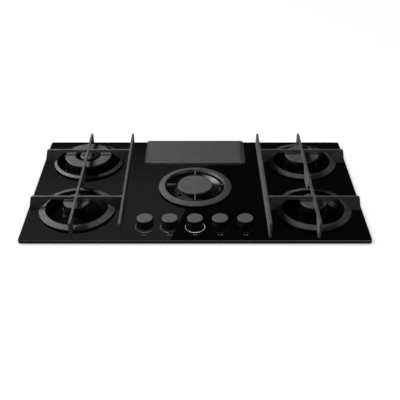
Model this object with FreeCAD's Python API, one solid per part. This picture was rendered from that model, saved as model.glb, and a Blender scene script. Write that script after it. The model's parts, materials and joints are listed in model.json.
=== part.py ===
"""Gas cooktop with five burners, a glass top and a rear centre vent. Millimetres, +Z up, front faces -Y.

The origin is at the middle of the flat underside of the tray. Heights written "above the glass" are
measured from the polished top face of the glass.
"""
import FreeCAD, Part
import math
import os

os.makedirs("parts", exist_ok=True)

# ---------------------------------------------------------------- glass top
GLASS_WIDTH = 900.0
GLASS_DEPTH = 520.0
GLASS_THICKNESS = 8.0
GLASS_CORNER = 7.0
GLASS_BEVEL = 1.0
SEAL_THICKNESS = 2.0
SEAL_WIDTH = 9.0
SEAL_INSET = 6.0

# ---------------------------------------------------------------- tray under the glass
TRAY_SIDE_MARGIN = 25.0
TRAY_FRONT_MARGIN = 25.0
TRAY_WIDTH = GLASS_WIDTH - 2 * TRAY_SIDE_MARGIN
TRAY_DEPTH = GLASS_DEPTH - 2 * TRAY_FRONT_MARGIN
TRAY_HEIGHT = 60.0
TRAY_SHEET = 1.0
TRAY_CORNER = 10.0
TRAY_FLANGE = 8.0
NOTCH_WIDTH = 52.0
NOTCH_DEPTH = 62.0
NOTCH_HEIGHT = 40.0
AIR_SLOT_COUNT = 6
AIR_SLOT_PITCH = 22.0
AIR_SLOT_X = 150.0
AIR_SLOT_Y = 30.0
AIR_SLOT_WIDTH = 6.0
AIR_SLOT_LENGTH = 46.0

# ---------------------------------------------------------------- burners, heights above the glass
SEMI_RAPID_CAP_RADIUS = 35.0
STRONG_SEMI_RAPID_CAP_RADIUS = 35.5
RAPID_CAP_RADIUS = 49.5
LOW_RAPID_CAP_RADIUS = 48.5
CROWN_CAP_RADIUS = 68.0
CAP_TOP = 30.5
LOW_CAP_TOP = 12.0
CROWN_CAP_TOP = 27.0
SEMI_RAPID_CUP_RADIUS = 24.0
RAPID_CUP_RADIUS = 32.0
CROWN_CUP_RADIUS = 42.0
SEMI_RAPID_PORT_COUNT = 20
RAPID_PORT_COUNT = 28
CROWN_PORT_COUNT = 44
RING_RADIUS = 102.0
RING_WIDTH = 17.5
CROWN_RING_WIDTH = 8.5
RING_EDGE_HEIGHT = 4.5
RING_EDGE_THICKNESS = 0.9
RING_TOP_HEIGHT = 10.0
RING_THICKNESS = 1.6
RING_FOOT_INSET = 4.0
RING_FOOT_WIDTH = 3.0
BOWL_DEPTH = 12.0
BOWL_SHEET = 1.0
BOWL_LEDGE = 6.0
BOWL_WALL_RUN = 8.0
CUP_DEPTH = 38.0
CUP_WALL = 4.0
CUP_FLANGE_MARGIN = 7.0
CUP_FLANGE_THICKNESS = 4.0
HEAD_WALL = 4.0
HEAD_WALL_HEIGHT = 10.0
HEAD_BASE = 6.0
HEAD_INSET = 4.5
HEAD_SKIRT = 5.0
SKIRT_WALL = 3.0
PORT_WIDTH = 1.8
PORT_HEIGHT = 6.0
CAP_THICKNESS = 5.5
CAP_SPIGOT = 1.8
INNER_CAP_RADIUS = 24.0
CROWN_INNER_RADIUS = 38.0
PROBE_MARGIN = 1.5
ELECTRODE_RADIUS = 3.0
THERMOCOUPLE_RADIUS = 2.2
PROBE_COLLAR = 1.8
PROBE_DROP = 24.0
INJECTOR_RADIUS = 4.5
INJECTOR_LENGTH = 11.0
INJECTOR_JET = 0.8
INJECTOR_HEX = 1.5
CUP_FLOOR = 16.0
CUP_BORE_PLAY = 0.3
SCREW_ANGLES = (60.0, 172.0, 264.0)
ELECTRODE_ANGLE = 206.0
THERMOCOUPLE_ANGLE = 322.0
PROBE_COLLAR_HEIGHT = 2.5
PROBE_PIN_RADIUS = 1.0
PROBE_TIP_DROP = 5.0
PROBE_PIN_LENGTH = 5.0
CROWN_GAP = 3.0
CROWN_WEB = 10.0
CROWN_GROOVE_WIDTH = 2.2
CROWN_GROOVE_DEPTH = 1.9
SOCKET_WALL = 3.0

# ---------------------------------------------------------------- fins over the centre burner
FIN_THICKNESS = 4.0
FIN_INNER_RADIUS = 53.0
FIN_HEIGHT = 12.0
FIN_RING_WIDTH = 6.0
FIN_RING_THICKNESS = 3.0

# ---------------------------------------------------------------- grates, heights above the glass
GRATE_HEIGHT = 44.0
GRATE_BAR = 6.0
GRATE_BAR_DEPTH = 9.0
GRATE_EDGE_GAP = 4.0
GRATE_END_LEAN = 8.0
GRATE_FRONT = 9.0
GRATE_REAR_FOOT = 4.5
GRATE_RING_GAP = 1.5
GRATE_RING_RISE = 2.0
GRATE_RING_STEP = 8.0
GRATE_ARCH_RADIUS = 71.0
GRATE_CORNER = 5.0
GRATE_PAD_HEIGHT = 1.5
GRATE_PAD_LENGTH = 14.0
GRATE_PAD_WIDTH = 5.0
GRATE_PAD_INSET = 2.0

# ---------------------------------------------------------------- knobs and valves
KNOB_COUNT = 5
KNOB_PITCH = 65.0
KNOB_FROM_FRONT = 61.0
KNOB_RADIUS = 21.0
KNOB_TAPER = 0.4
KNOB_TOP = 29.0
KNOB_GAP = 4.5
KNOB_SHELL = 2.0
KNOB_HUB_RADIUS = 6.5
KNOB_EDGE = 0.8
KNOB_TRAVEL = 3.0
STEM_RADIUS = 3.0
STEM_FLAT = 2.1
STEM_TOP = 22.0
STEM_CLEARANCE = 0.08
GROMMET_RADIUS = 11.0
GROMMET_HEIGHT = 1.2
GROMMET_SLEEVE_RADIUS = 7.9
VALVE_WIDTH = 22.0
VALVE_SADDLE_WIDTH = 32.0
VALVE_BASE = 12.0
VALVE_SADDLE_HEIGHT = 13.0
VALVE_BELOW_GLASS = 14.0
VALVE_BONNET = 3.0
VALVE_HALF_DEPTH = 13.0
PLUG_TOP_RADIUS = 7.5
PLUG_BOTTOM_RADIUS = 6.2
PLUG_LENGTH = 18.0
PLUG_CLEARANCE = 0.05
STEM_IN_PLUG = 9.0
SWITCH_WIDTH = 14.0
SWITCH_DEPTH = 8.0
SWITCH_HEIGHT = 8.0
GAS_PASSAGE = 2.0
PLUG_PORT = 1.5
PLUG_PORT_RISE = 2.5
OUTLET_CHANNEL_Y = 10.0
STEM_PLAY = 0.4
KNOB_RIB = 1.6
KNOB_RIB_RISE = 6.0
KNOB_HUB_RISE = 1.5

# ---------------------------------------------------------------- gas pipes
MANIFOLD_RADIUS = 8.0
MANIFOLD_BORE = 4.0
MANIFOLD_FLAT = 1.0
MANIFOLD_END_WALL = 3.0
MANIFOLD_PORT = 1.8
VALVE_SCREW_GRIP = 1.5
MANIFOLD_HEIGHT = 18.0
MANIFOLD_BEND = 34.0
MANIFOLD_OVERHANG = 25.0
INLET_FROM_SIDE = 29.0
INLET_THREAD_RADIUS = 10.48
INLET_THREAD_LENGTH = 14.0
INLET_RELIEF_LENGTH = 2.5
INLET_RELIEF_DEPTH = 1.2
INLET_HEX = 27.0
INLET_HEX_LENGTH = 7.0
INLET_NECK = 12.0
INLET_WALL = 2.0
PIPE_RADIUS = 4.0
PIPE_ABOVE_BASE = 8.0
PIPE_SOCKET = 6.0
PIPE_BEND = 22.0
PIPE_SIDESTEP = 60.0
PIPE_KNEE_INSET = 127.0
PIPE_KNEE_RUN = 15.0

# ---------------------------------------------------------------- rails, vent and small parts
RAIL_WIDTH = 70.0
RAIL_SHEET = 1.5
RAIL_LIP = 2.0
RAIL_LEAD_HOLE = 3.0
RAIL_TAB_HEIGHT = 18.0
RAIL_TAB_WIDTH = 40.0
VENT_WIDTH = 256.0
VENT_DEPTH = 100.0
COVER_OVERLAP_X = 21.5
COVER_OVERLAP_Y = 19.0
COVER_REAR_GAP = 10.0
COVER_TOP = 15.0
COVER_THICKNESS = 8.0
COVER_BEVEL_RUN = 13.0
COVER_BEVEL_DROP = 4.5
COVER_CORNER = 10.0
COVER_FOOT_RADIUS = 6.0
COVER_RIM = 4.0
VENT_SHEET = 1.2
VENT_RIM = 14.0
VENT_CORNER = 8.0
VENT_FORWARD = 2.0
VENT_PLAY = 1.0
VENT_RIM_TRIM = 6.0
VENT_FLANGE = 4.0
DUCT_INSET_X = 18.0
DUCT_INSET_Y = 10.0
DUCT_HOLE_RADIUS = 2.75
DUCT_HOLE_MARGIN_X = 8.0
DUCT_HOLE_MARGIN_Y = 5.0
FILTER_DROP = 14.0
FILTER_HEIGHT = 10.0
FILTER_FRAME = 8.0
FILTER_SLOTS = 9
FILTER_OPEN_SHARE = 0.72
FILTER_LEDGE = 5.0
FILTER_PLAY = 1.0
CABLE_HOLE_RADIUS = 8.0
CABLE_HOLE_FROM_SIDE = 35.0
CABLE_HOLE_HEIGHT = 14.0
CLAMP_FROM_END = 95.0
CLAMP_WIDTH = 24.0
CLAMP_REACH = 17.0
CLAMP_HEIGHT = 22.0
CLAMP_SHEET = 1.5
SCREW_RADIUS = 2.0
SCREW_HEAD_RADIUS = 3.7
SCREW_HEAD_HEIGHT = 2.4
SCREW_LENGTH = 7.0
SCREW_CLEARANCE = 0.1

# ---------------------------------------------------------------- ignition and mains
SPARK_FROM_VALVE = 85.0
SPARK_FRONT_GAP = 6.0
SPARK_WIDTH = 70.0
SPARK_DEPTH = 40.0
SPARK_HEIGHT = 26.0
SPARK_PIN_RADIUS = 2.5
SPARK_PIN_LENGTH = 4.0
LEAD_RADIUS = 1.5
LEAD_BEND = 5.0
LEAD_LIFT = 6.0
LEAD_PITCH = 12.0
LANE_START = 14.0
LANE_PITCH = 10.0
LEAD_STARTS = (1, 0, 2, 3, 4)
LEAD_LANES = (1, 0, 2, 1, 0)
LEAD_RISES = (22.0, 26.0, -12.0, -26.0, -22.0)
TERMINAL_WIDTH = 44.0
TERMINAL_DEPTH = 26.0
TERMINAL_HEIGHT = 20.0
TERMINAL_REAR_GAP = 22.0
TERMINAL_COUNT = 3
TERMINAL_PITCH = 14.0
TERMINAL_WELL_RADIUS = 3.2
TERMINAL_WELL_DEPTH = 8.0
SWITCH_CABLE_WIDTH = 3.0
SWITCH_CABLE_THICKNESS = 2.0

# ---------------------------------------------------------------- free gaps on the glass
COVER_TO_GRATE = 39.0
GRATE_TO_RING = 20.5
RING_TO_SIDE = 31.0
FRONT_TO_RING = 38.0
RING_TO_RING = 50.0
RING_TO_REAR = 24.0
KNOB_TO_RING = 68.0
RING_TO_COVER = 18.0

GLASS_BOTTOM = TRAY_HEIGHT
GLASS_TOP = GLASS_BOTTOM + GLASS_THICKNESS
UP = FreeCAD.Vector(0, 0, 1)


def from_front(distance):
    """Y of a place that lies this far behind the front edge of the glass."""
    return distance - GLASS_DEPTH / 2


def above_glass(height):
    """Z of a place this far above the top face of the glass."""
    return GLASS_TOP + height


def spread(start, end, gaps, widths):
    """Middles of the widths laid from start to end; the gaps take up what the widths leave, in proportion."""
    scale = (end - start - sum(widths)) / sum(gaps)
    middles = []
    here = start
    for gap, width in zip(gaps, widths):
        here += gap * scale
        middles.append(here + width / 2)
        here += width
    return middles


# ---------------------------------------------------------------- places on the glass
COVER_WIDTH = VENT_WIDTH + 2 * COVER_OVERLAP_X
COVER_DEPTH = VENT_DEPTH + 2 * COVER_OVERLAP_Y
COVER_FRONT_FROM_FRONT = GLASS_DEPTH - COVER_REAR_GAP - COVER_DEPTH
GRATE_SIDE_BAR_X, SIDE_BURNER_X = spread(
    COVER_WIDTH / 2, GLASS_WIDTH / 2, (COVER_TO_GRATE, GRATE_TO_RING, RING_TO_SIDE),
    (GRATE_BAR, 2 * RING_RADIUS))
FRONT_BURNER_FROM_FRONT, REAR_BURNER_FROM_FRONT = spread(
    0.0, GLASS_DEPTH, (FRONT_TO_RING, RING_TO_RING, RING_TO_REAR), (2 * RING_RADIUS, 2 * RING_RADIUS))
CENTRE_BURNER_FROM_FRONT = spread(
    KNOB_FROM_FRONT + KNOB_RADIUS, COVER_FRONT_FROM_FRONT, (KNOB_TO_RING, RING_TO_COVER),
    (2 * RING_RADIUS,))[0]
GRATE_OUTER_X = GLASS_WIDTH / 2 - GRATE_EDGE_GAP
GRATE_REAR = REAR_BURNER_FROM_FRONT + RING_RADIUS + GRATE_RING_GAP + GRATE_REAR_FOOT
DUCT_WIDTH = VENT_WIDTH - 2 * DUCT_INSET_X
DUCT_DEPTH = VENT_DEPTH - 2 * DUCT_INSET_Y
VALVE_TOP = GLASS_BOTTOM - VALVE_BELOW_GLASS
PIPE_HEIGHT = above_glass(PIPE_ABOVE_BASE - CUP_DEPTH)
INLET_X = TRAY_WIDTH / 2 - INLET_FROM_SIDE
CABLE_HOLE_X = CABLE_HOLE_FROM_SIDE - TRAY_WIDTH / 2


# ---------------------------------------------------------------- shape helpers
def box(x0, x1, y0, y1, z0, z1):
    return Part.makeBox(x1 - x0, y1 - y0, z1 - z0, FreeCAD.Vector(x0, y0, z0))


def cylinder(radius, z0, z1, x=0.0, y=0.0):
    return Part.makeCylinder(radius, z1 - z0, FreeCAD.Vector(x, y, z0), UP)


def rod(radius, start, direction, length):
    return Part.makeCylinder(radius, length, FreeCAD.Vector(*start), FreeCAD.Vector(*direction))


def fuse_all(shapes):
    joined = shapes[0]
    if len(shapes) > 1:
        joined = shapes[0].multiFuse(shapes[1:])
    return joined.removeSplitter()


def cut_all(shape, tools):
    return shape.cut(Part.makeCompound(tools))


def rounded_wire(points, radii):
    """Closed wire through the points, each corner rounded by its own radius (0 keeps it sharp)."""
    corners = []
    count = len(points)
    for index in range(count):
        here = points[index]
        before = points[index - 1]
        after = points[(index + 1) % count]
        radius = radii[index]
        if radius <= 0:
            corners.append((here, None, here))
            continue
        to_before = (before - here).normalize()
        to_after = (after - here).normalize()
        half = to_before.getAngle(to_after) / 2
        reach = radius / math.tan(half)
        middle = (to_before + to_after).normalize()
        mid_point = here + middle * (radius / math.sin(half) - radius)
        corners.append((here + to_before * reach, mid_point, here + to_after * reach))
    edges = []
    for index in range(count):
        start, middle, end = corners[index]
        if middle is not None:
            edges.append(Part.Arc(start, middle, end).toShape())
        next_start = corners[(index + 1) % count][0]
        if end.distanceToPoint(next_start) > 1e-6:
            edges.append(Part.LineSegment(end, next_start).toShape())
    return Part.Wire(edges)


def rounded_slab(width, depth, radius, z0, z1, x=0.0, y=0.0):
    """Rounded rectangle centred on x, y."""
    points = [FreeCAD.Vector(x + sx * width / 2, y + sy * depth / 2, z0)
              for sx, sy in ((-1, -1), (1, -1), (1, 1), (-1, 1))]
    face = Part.Face(rounded_wire(points, [radius] * 4))
    return face.extrude(FreeCAD.Vector(0, 0, z1 - z0))


def turned(profile, x=0.0, y=0.0):
    """Solid of revolution about the vertical through x, y; the profile holds (radius, z) points."""
    points = [FreeCAD.Vector(radius, 0, z) for radius, z in profile]
    face = Part.Face(Part.makePolygon(points + points[:1]))
    solid = face.revolve(FreeCAD.Vector(0, 0, 0), UP, 360)
    solid.translate(FreeCAD.Vector(x, y, 0))
    return solid


def tube_along(points, radius, bend):
    """Round bar through straight runs joined by tangent arcs."""
    route = [FreeCAD.Vector(*point) for point in points]
    edges = []
    start = route[0]
    for index in range(1, len(route) - 1):
        here = route[index]
        to_before = (route[index - 1] - here).normalize()
        to_after = (route[index + 1] - here).normalize()
        half = to_before.getAngle(to_after) / 2
        reach = bend / math.tan(half)
        middle = (to_before + to_after).normalize()
        arc_start = here + to_before * reach
        arc_end = here + to_after * reach
        arc_middle = here + middle * (bend / math.sin(half) - bend)
        edges.append(Part.LineSegment(start, arc_start).toShape())
        edges.append(Part.Arc(arc_start, arc_middle, arc_end).toShape())
        start = arc_end
    edges.append(Part.LineSegment(start, route[-1]).toShape())
    path = Part.Wire(edges)
    direction = route[1] - route[0]
    circle = Part.Wire(Part.makeCircle(radius, route[0], direction))
    return path.makePipeShell([circle], True, False)


def around(x, y, radius, degrees):
    angle = math.radians(degrees)
    return x + radius * math.cos(angle), y + radius * math.sin(angle)


def save(name, shape):
    shape.exportStep("parts/" + name + ".step")
    print(name, len(shape.Solids), round(shape.Volume), shape.isValid())


# ---------------------------------------------------------------- burner list
class Burner:
    """Place and size of one burner; heights are above the glass."""

    def __init__(self, name, x, distance, cap_radius, cap_top, cup_radius, ring_width, ports, pipe_side):
        self.name = name
        self.x = x
        self.y = from_front(distance)
        self.cap_radius = cap_radius
        self.cap_top = above_glass(cap_top)
        self.cup_radius = cup_radius
        self.ring_bore = RING_RADIUS - ring_width
        self.ports = ports
        self.pipe_side = pipe_side
        self.head_top = self.cap_top - CAP_THICKNESS
        self.seat = self.head_top - HEAD_WALL_HEIGHT - HEAD_BASE
        self.floor_radius = self.ring_bore - BOWL_LEDGE - RING_FOOT_INSET - BOWL_WALL_RUN
        self.floor_top = above_glass(-BOWL_DEPTH + BOWL_SHEET)
        self.flange_top = above_glass(-BOWL_DEPTH)
        self.flange_radius = cap_radius + CUP_FLANGE_MARGIN
        self.screw_radius = (cup_radius + self.flange_radius) / 2
        self.probe_radius = cap_radius + PROBE_MARGIN
        self.head_radius = cap_radius - HEAD_INSET
        self.base = above_glass(-CUP_DEPTH)


FRONT_LEFT = Burner("front_left", -SIDE_BURNER_X, FRONT_BURNER_FROM_FRONT, SEMI_RAPID_CAP_RADIUS, CAP_TOP,
                    SEMI_RAPID_CUP_RADIUS, RING_WIDTH, SEMI_RAPID_PORT_COUNT, 0)
REAR_LEFT = Burner("rear_left", -SIDE_BURNER_X, REAR_BURNER_FROM_FRONT, CROWN_CAP_RADIUS, CROWN_CAP_TOP,
                   CROWN_CUP_RADIUS, CROWN_RING_WIDTH, CROWN_PORT_COUNT, 0)
CENTRE = Burner("centre", 0.0, CENTRE_BURNER_FROM_FRONT, LOW_RAPID_CAP_RADIUS, LOW_CAP_TOP,
                RAPID_CUP_RADIUS, RING_WIDTH, RAPID_PORT_COUNT, 270)
REAR_RIGHT = Burner("rear_right", SIDE_BURNER_X, REAR_BURNER_FROM_FRONT, RAPID_CAP_RADIUS, CAP_TOP,
                    RAPID_CUP_RADIUS, RING_WIDTH, RAPID_PORT_COUNT, 180)
FRONT_RIGHT = Burner("front_right", SIDE_BURNER_X, FRONT_BURNER_FROM_FRONT, STRONG_SEMI_RAPID_CAP_RADIUS,
                     CAP_TOP, SEMI_RAPID_CUP_RADIUS, RING_WIDTH, SEMI_RAPID_PORT_COUNT, 180)
BURNERS = [FRONT_LEFT, REAR_LEFT, CENTRE, REAR_RIGHT, FRONT_RIGHT]

KNOB_Y = from_front(KNOB_FROM_FRONT)
KNOB_XS = [(index - (KNOB_COUNT - 1) / 2) * KNOB_PITCH for index in range(KNOB_COUNT)]
VENT_Y = from_front(COVER_FRONT_FROM_FRONT) + COVER_DEPTH / 2 - VENT_FORWARD
MANIFOLD_Y = KNOB_Y + VALVE_HALF_DEPTH + MANIFOLD_RADIUS - MANIFOLD_FLAT
NOTCH_FRONT_Y = TRAY_DEPTH / 2 - NOTCH_DEPTH
CLAMP_Y = TRAY_DEPTH / 2 - CLAMP_FROM_END
SPARK_X = KNOB_XS[0] - SPARK_FROM_VALVE
SPARK_Y = -TRAY_DEPTH / 2 + TRAY_SHEET + SPARK_FRONT_GAP + SPARK_DEPTH / 2


# ---------------------------------------------------------------- screws
def screw(seat, direction, length=SCREW_LENGTH):
    """Pan-head screw: the head's underside is at the seat, the shank runs along the direction."""
    axis = FreeCAD.Vector(*direction)
    back = FreeCAD.Vector(*seat) - axis * SCREW_HEAD_HEIGHT
    head = Part.makeCylinder(SCREW_HEAD_RADIUS, SCREW_HEAD_HEIGHT, back, axis)
    shank = Part.makeCylinder(SCREW_RADIUS, length, FreeCAD.Vector(*seat), axis)
    recess = Part.makeCylinder(SCREW_RADIUS * 0.8, SCREW_HEAD_HEIGHT / 2, back, axis)
    return head.fuse(shank).cut(recess)


def screw_hole(seat, direction, length=SCREW_LENGTH):
    axis = FreeCAD.Vector(*direction)
    start = FreeCAD.Vector(*seat) - axis
    return Part.makeCylinder(SCREW_RADIUS + SCREW_CLEARANCE, length + 2, start, axis)


def burner_screw_seats(burner):
    return [around(burner.x, burner.y, burner.screw_radius, angle) + (burner.floor_top,)
            for angle in SCREW_ANGLES]


def rail_screw_seats():
    """Through the tray's front and rear walls into the tabs of the side rails."""
    height = above_glass(-CUP_DEPTH) - RAIL_TAB_HEIGHT / 2
    seats = []
    for side in (-1, 1):
        for offset in (-RAIL_TAB_WIDTH / 4, RAIL_TAB_WIDTH / 4):
            x = side * SIDE_BURNER_X + offset
            seats.append(((x, -TRAY_DEPTH / 2, height), (0, 1, 0)))
            seats.append(((x, TRAY_DEPTH / 2, height), (0, -1, 0)))
    return seats


def valve_screw_seats():
    return [((x + side * VALVE_SADDLE_WIDTH / 3, KNOB_Y - VALVE_HALF_DEPTH, MANIFOLD_HEIGHT), (0, 1, 0))
            for x in KNOB_XS for side in (-1, 1)]


def clamp_screw_seats():
    x = TRAY_WIDTH / 2 + CLAMP_SHEET
    height = CLAMP_HEIGHT / 2
    return [((side * x, y, height), (-side, 0, 0)) for side in (-1, 1) for y in (-CLAMP_Y, CLAMP_Y)]


VALVE_SCREW_LENGTH = 2 * VALVE_HALF_DEPTH + VALVE_SCREW_GRIP


# ---------------------------------------------------------------- glass, seal, tray
def glass_top():
    slab = rounded_slab(GLASS_WIDTH, GLASS_DEPTH, GLASS_CORNER, GLASS_BOTTOM, GLASS_TOP)
    rim = [edge for edge in slab.Edges if abs(edge.BoundBox.ZMin - GLASS_TOP) < 0.01
           and abs(edge.BoundBox.ZMax - GLASS_TOP) < 0.01]
    slab = slab.makeChamfer(GLASS_BEVEL, rim)
    tools = []
    for burner in BURNERS:
        hole = burner.ring_bore - RING_FOOT_INSET - BOWL_LEDGE + 1.0
        tools.append(cylinder(hole, GLASS_BOTTOM - 1, GLASS_TOP + 1, burner.x, burner.y))
    for x in KNOB_XS:
        tools.append(cylinder(GROMMET_SLEEVE_RADIUS, GLASS_BOTTOM - 1, GLASS_TOP + 1, x, KNOB_Y))
    tools.append(rounded_slab(VENT_WIDTH, VENT_DEPTH, VENT_CORNER, GLASS_BOTTOM - 1, GLASS_TOP + 1,
                              0, VENT_Y))
    return cut_all(slab, tools)


def seal_strip():
    width = GLASS_WIDTH - 2 * SEAL_INSET
    depth = GLASS_DEPTH - 2 * SEAL_INSET
    z0 = GLASS_BOTTOM - SEAL_THICKNESS
    outer = rounded_slab(width, depth, GLASS_CORNER, z0, GLASS_BOTTOM)
    inner = rounded_slab(width - 2 * SEAL_WIDTH, depth - 2 * SEAL_WIDTH, GLASS_CORNER / 2, z0, GLASS_BOTTOM)
    return outer.cut(inner)


def notch(grow):
    """Block at the rear right corner where the tray steps in round the gas inlet."""
    x0 = TRAY_WIDTH / 2 - NOTCH_WIDTH - grow
    y0 = NOTCH_FRONT_Y - grow
    return box(x0, TRAY_WIDTH, y0, TRAY_DEPTH, -1, NOTCH_HEIGHT + grow)


def tray():
    outer = rounded_slab(TRAY_WIDTH, TRAY_DEPTH, TRAY_CORNER, 0, GLASS_BOTTOM).cut(notch(0))
    inside = rounded_slab(TRAY_WIDTH - 2 * TRAY_SHEET, TRAY_DEPTH - 2 * TRAY_SHEET, TRAY_CORNER - TRAY_SHEET,
                          TRAY_SHEET, GLASS_BOTTOM).cut(notch(TRAY_SHEET))
    flange = rounded_slab(TRAY_WIDTH + 2 * TRAY_FLANGE, TRAY_DEPTH + 2 * TRAY_FLANGE, TRAY_CORNER,
                          GLASS_BOTTOM - TRAY_SHEET, GLASS_BOTTOM)
    shell = fuse_all([outer, flange]).cut(inside)
    tools = [rounded_slab(DUCT_WIDTH, DUCT_DEPTH, VENT_CORNER, -1, TRAY_SHEET + 1, 0, VENT_Y)]
    for x, y in duct_holes():
        tools.append(cylinder(DUCT_HOLE_RADIUS, -1, TRAY_SHEET + 1, x, y))
    for radius, x, wall, height in ((INLET_THREAD_RADIUS, INLET_X, NOTCH_FRONT_Y, MANIFOLD_HEIGHT),
                                    (CABLE_HOLE_RADIUS, CABLE_HOLE_X, TRAY_DEPTH / 2, CABLE_HOLE_HEIGHT)):
        tools.append(rod(radius, (x, wall - TRAY_SHEET - 1, height), (0, 1, 0), TRAY_SHEET + 2))
    for seat, direction in rail_screw_seats() + clamp_screw_seats():
        tools.append(screw_hole(seat, direction))
    tools += air_slots()
    return cut_all(shell, tools)


def air_slots():
    """Rows of cooling slots through the tray's floor."""
    slots = []
    for side in (-1, 1):
        for index in range(AIR_SLOT_COUNT):
            x = side * (AIR_SLOT_X + AIR_SLOT_PITCH * index)
            slots.append(rounded_slab(AIR_SLOT_WIDTH, AIR_SLOT_LENGTH, AIR_SLOT_WIDTH * 0.48,
                                      -1, TRAY_SHEET + 1, x, AIR_SLOT_Y))
    return slots


def duct_holes():
    reach_x = DUCT_WIDTH / 2 + DUCT_HOLE_MARGIN_X
    reach_y = DUCT_DEPTH / 2 + DUCT_HOLE_MARGIN_Y
    return [(sx * reach_x, VENT_Y + sy * reach_y) for sx in (-1, 1) for sy in (-1, 1)]


# ---------------------------------------------------------------- rails under the burners
def rails():
    top = above_glass(-CUP_DEPTH)
    low = top - RAIL_SHEET
    wall = TRAY_DEPTH / 2 - TRAY_SHEET
    shapes = []
    for side in (-1, 1):
        x = side * SIDE_BURNER_X
        pieces = [box(x - RAIL_WIDTH / 2, x + RAIL_WIDTH / 2, -wall, wall, low, top)]
        for edge in (-1, 1):
            lip = x + edge * (RAIL_WIDTH - RAIL_SHEET) / 2
            pieces.append(box(lip - RAIL_SHEET / 2, lip + RAIL_SHEET / 2, -wall, wall, low - RAIL_LIP, top))
        for y0, y1 in ((-wall, -wall + RAIL_SHEET), (wall - RAIL_SHEET, wall)):
            pieces.append(box(x - RAIL_TAB_WIDTH / 2, x + RAIL_TAB_WIDTH / 2, y0, y1,
                              top - RAIL_TAB_HEIGHT, top))
        shapes.append(fuse_all(pieces))
    reach = SIDE_BURNER_X - RAIL_WIDTH / 2
    y = CENTRE.y
    pieces = [box(-reach, reach, y - RAIL_WIDTH / 2, y + RAIL_WIDTH / 2, low, top)]
    for edge in (-1, 1):
        lip = y + edge * (RAIL_WIDTH - RAIL_SHEET) / 2
        pieces.append(box(-reach, reach, lip - RAIL_SHEET / 2, lip + RAIL_SHEET / 2, low - RAIL_LIP, top))
    shapes.append(fuse_all(pieces))
    tools = [screw_hole(*seat) for seat in rail_screw_seats()]
    for burner in BURNERS:
        x, y = around(burner.x, burner.y, burner.probe_radius, ELECTRODE_ANGLE)
        tools.append(cylinder(RAIL_LEAD_HOLE, low - RAIL_LIP - 1, top + 1, x, y))
    return Part.makeCompound([cut_all(shape, tools) for shape in shapes])


# ---------------------------------------------------------------- burner pieces
def burner_cup(burner):
    """Casting that holds the gas inlet and carries the flame head."""
    x, y = burner.x, burner.y
    outer = burner.cup_radius
    bore = outer - CUP_WALL
    flange_low = burner.flange_top - CUP_FLANGE_THICKNESS
    floor = burner.base + CUP_FLOOR
    body = turned([(0, burner.base), (outer, burner.base), (outer, flange_low),
                   (burner.flange_radius, flange_low), (burner.flange_radius, burner.flange_top),
                   (outer, burner.flange_top),
                   (outer, burner.seat), (bore, burner.seat), (bore, floor), (0, floor)], x, y)
    boss_x, boss_y = around(0, 0, 1, burner.pipe_side)
    boss = rod(PIPE_RADIUS + SOCKET_WALL, (x, y, PIPE_HEIGHT), (boss_x, boss_y, 0), outer + PIPE_SOCKET)
    body = fuse_all([body, boss])
    tools = [rod(PIPE_RADIUS, (x + boss_x * outer, y + boss_y * outer, PIPE_HEIGHT), (boss_x, boss_y, 0),
                 PIPE_SOCKET + 1),
             rod(PIPE_RADIUS / 2, (x, y, PIPE_HEIGHT), (boss_x, boss_y, 0), outer + 1),
             cylinder(INJECTOR_RADIUS, PIPE_HEIGHT, burner.base + CUP_FLOOR + 1, x, y)]
    tools += [screw_hole(seat, (0, 0, -1)) for seat in burner_screw_seats(burner)]
    tools.append(cylinder(ELECTRODE_RADIUS + SCREW_CLEARANCE, burner.base + 1, burner.flange_top + 1,
                          *around(x, y, burner.probe_radius, ELECTRODE_ANGLE)))
    tools.append(cylinder(THERMOCOUPLE_RADIUS + SCREW_CLEARANCE, burner.base + 1, burner.flange_top + 1,
                          *around(x, y, burner.probe_radius, THERMOCOUPLE_ANGLE)))
    return cut_all(body, tools)


def injector(burner):
    low = PIPE_HEIGHT
    top = low + INJECTOR_LENGTH
    floor = burner.base + CUP_FLOOR
    hexagon = INJECTOR_RADIUS + INJECTOR_HEX
    body = turned([(0, low), (INJECTOR_RADIUS, low), (INJECTOR_RADIUS, floor), (hexagon, floor),
                   (hexagon, top - 2), (INJECTOR_RADIUS - 1, top), (0, top)], burner.x, burner.y)
    return body.cut(cylinder(INJECTOR_JET, low - 1, top + 1, burner.x, burner.y))


def drip_bowl(burner):
    bore = burner.ring_bore
    ledge_out = bore - RING_FOOT_INSET
    ledge_in = ledge_out - BOWL_LEDGE
    hole = burner.cup_radius + CUP_BORE_PLAY
    lip = above_glass(RING_TOP_HEIGHT - RING_THICKNESS)
    line = [(bore - 0.3, lip), (ledge_out, above_glass(BOWL_SHEET)), (ledge_in, above_glass(BOWL_SHEET)),
            (burner.floor_radius, burner.floor_top), (hole, burner.floor_top)]
    profile = line + [(radius, z - BOWL_SHEET) for radius, z in reversed(line)]
    shape = turned(profile, burner.x, burner.y)
    tools = [screw_hole(seat, (0, 0, -1)) for seat in burner_screw_seats(burner)]
    for radius, angle in ((ELECTRODE_RADIUS, ELECTRODE_ANGLE), (THERMOCOUPLE_RADIUS, THERMOCOUPLE_ANGLE)):
        tools.append(cylinder(radius + SCREW_CLEARANCE, burner.floor_top - BOWL_SHEET - 1,
                              burner.floor_top + 1, *around(burner.x, burner.y, burner.probe_radius, angle)))
    return cut_all(shape, tools)


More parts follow.
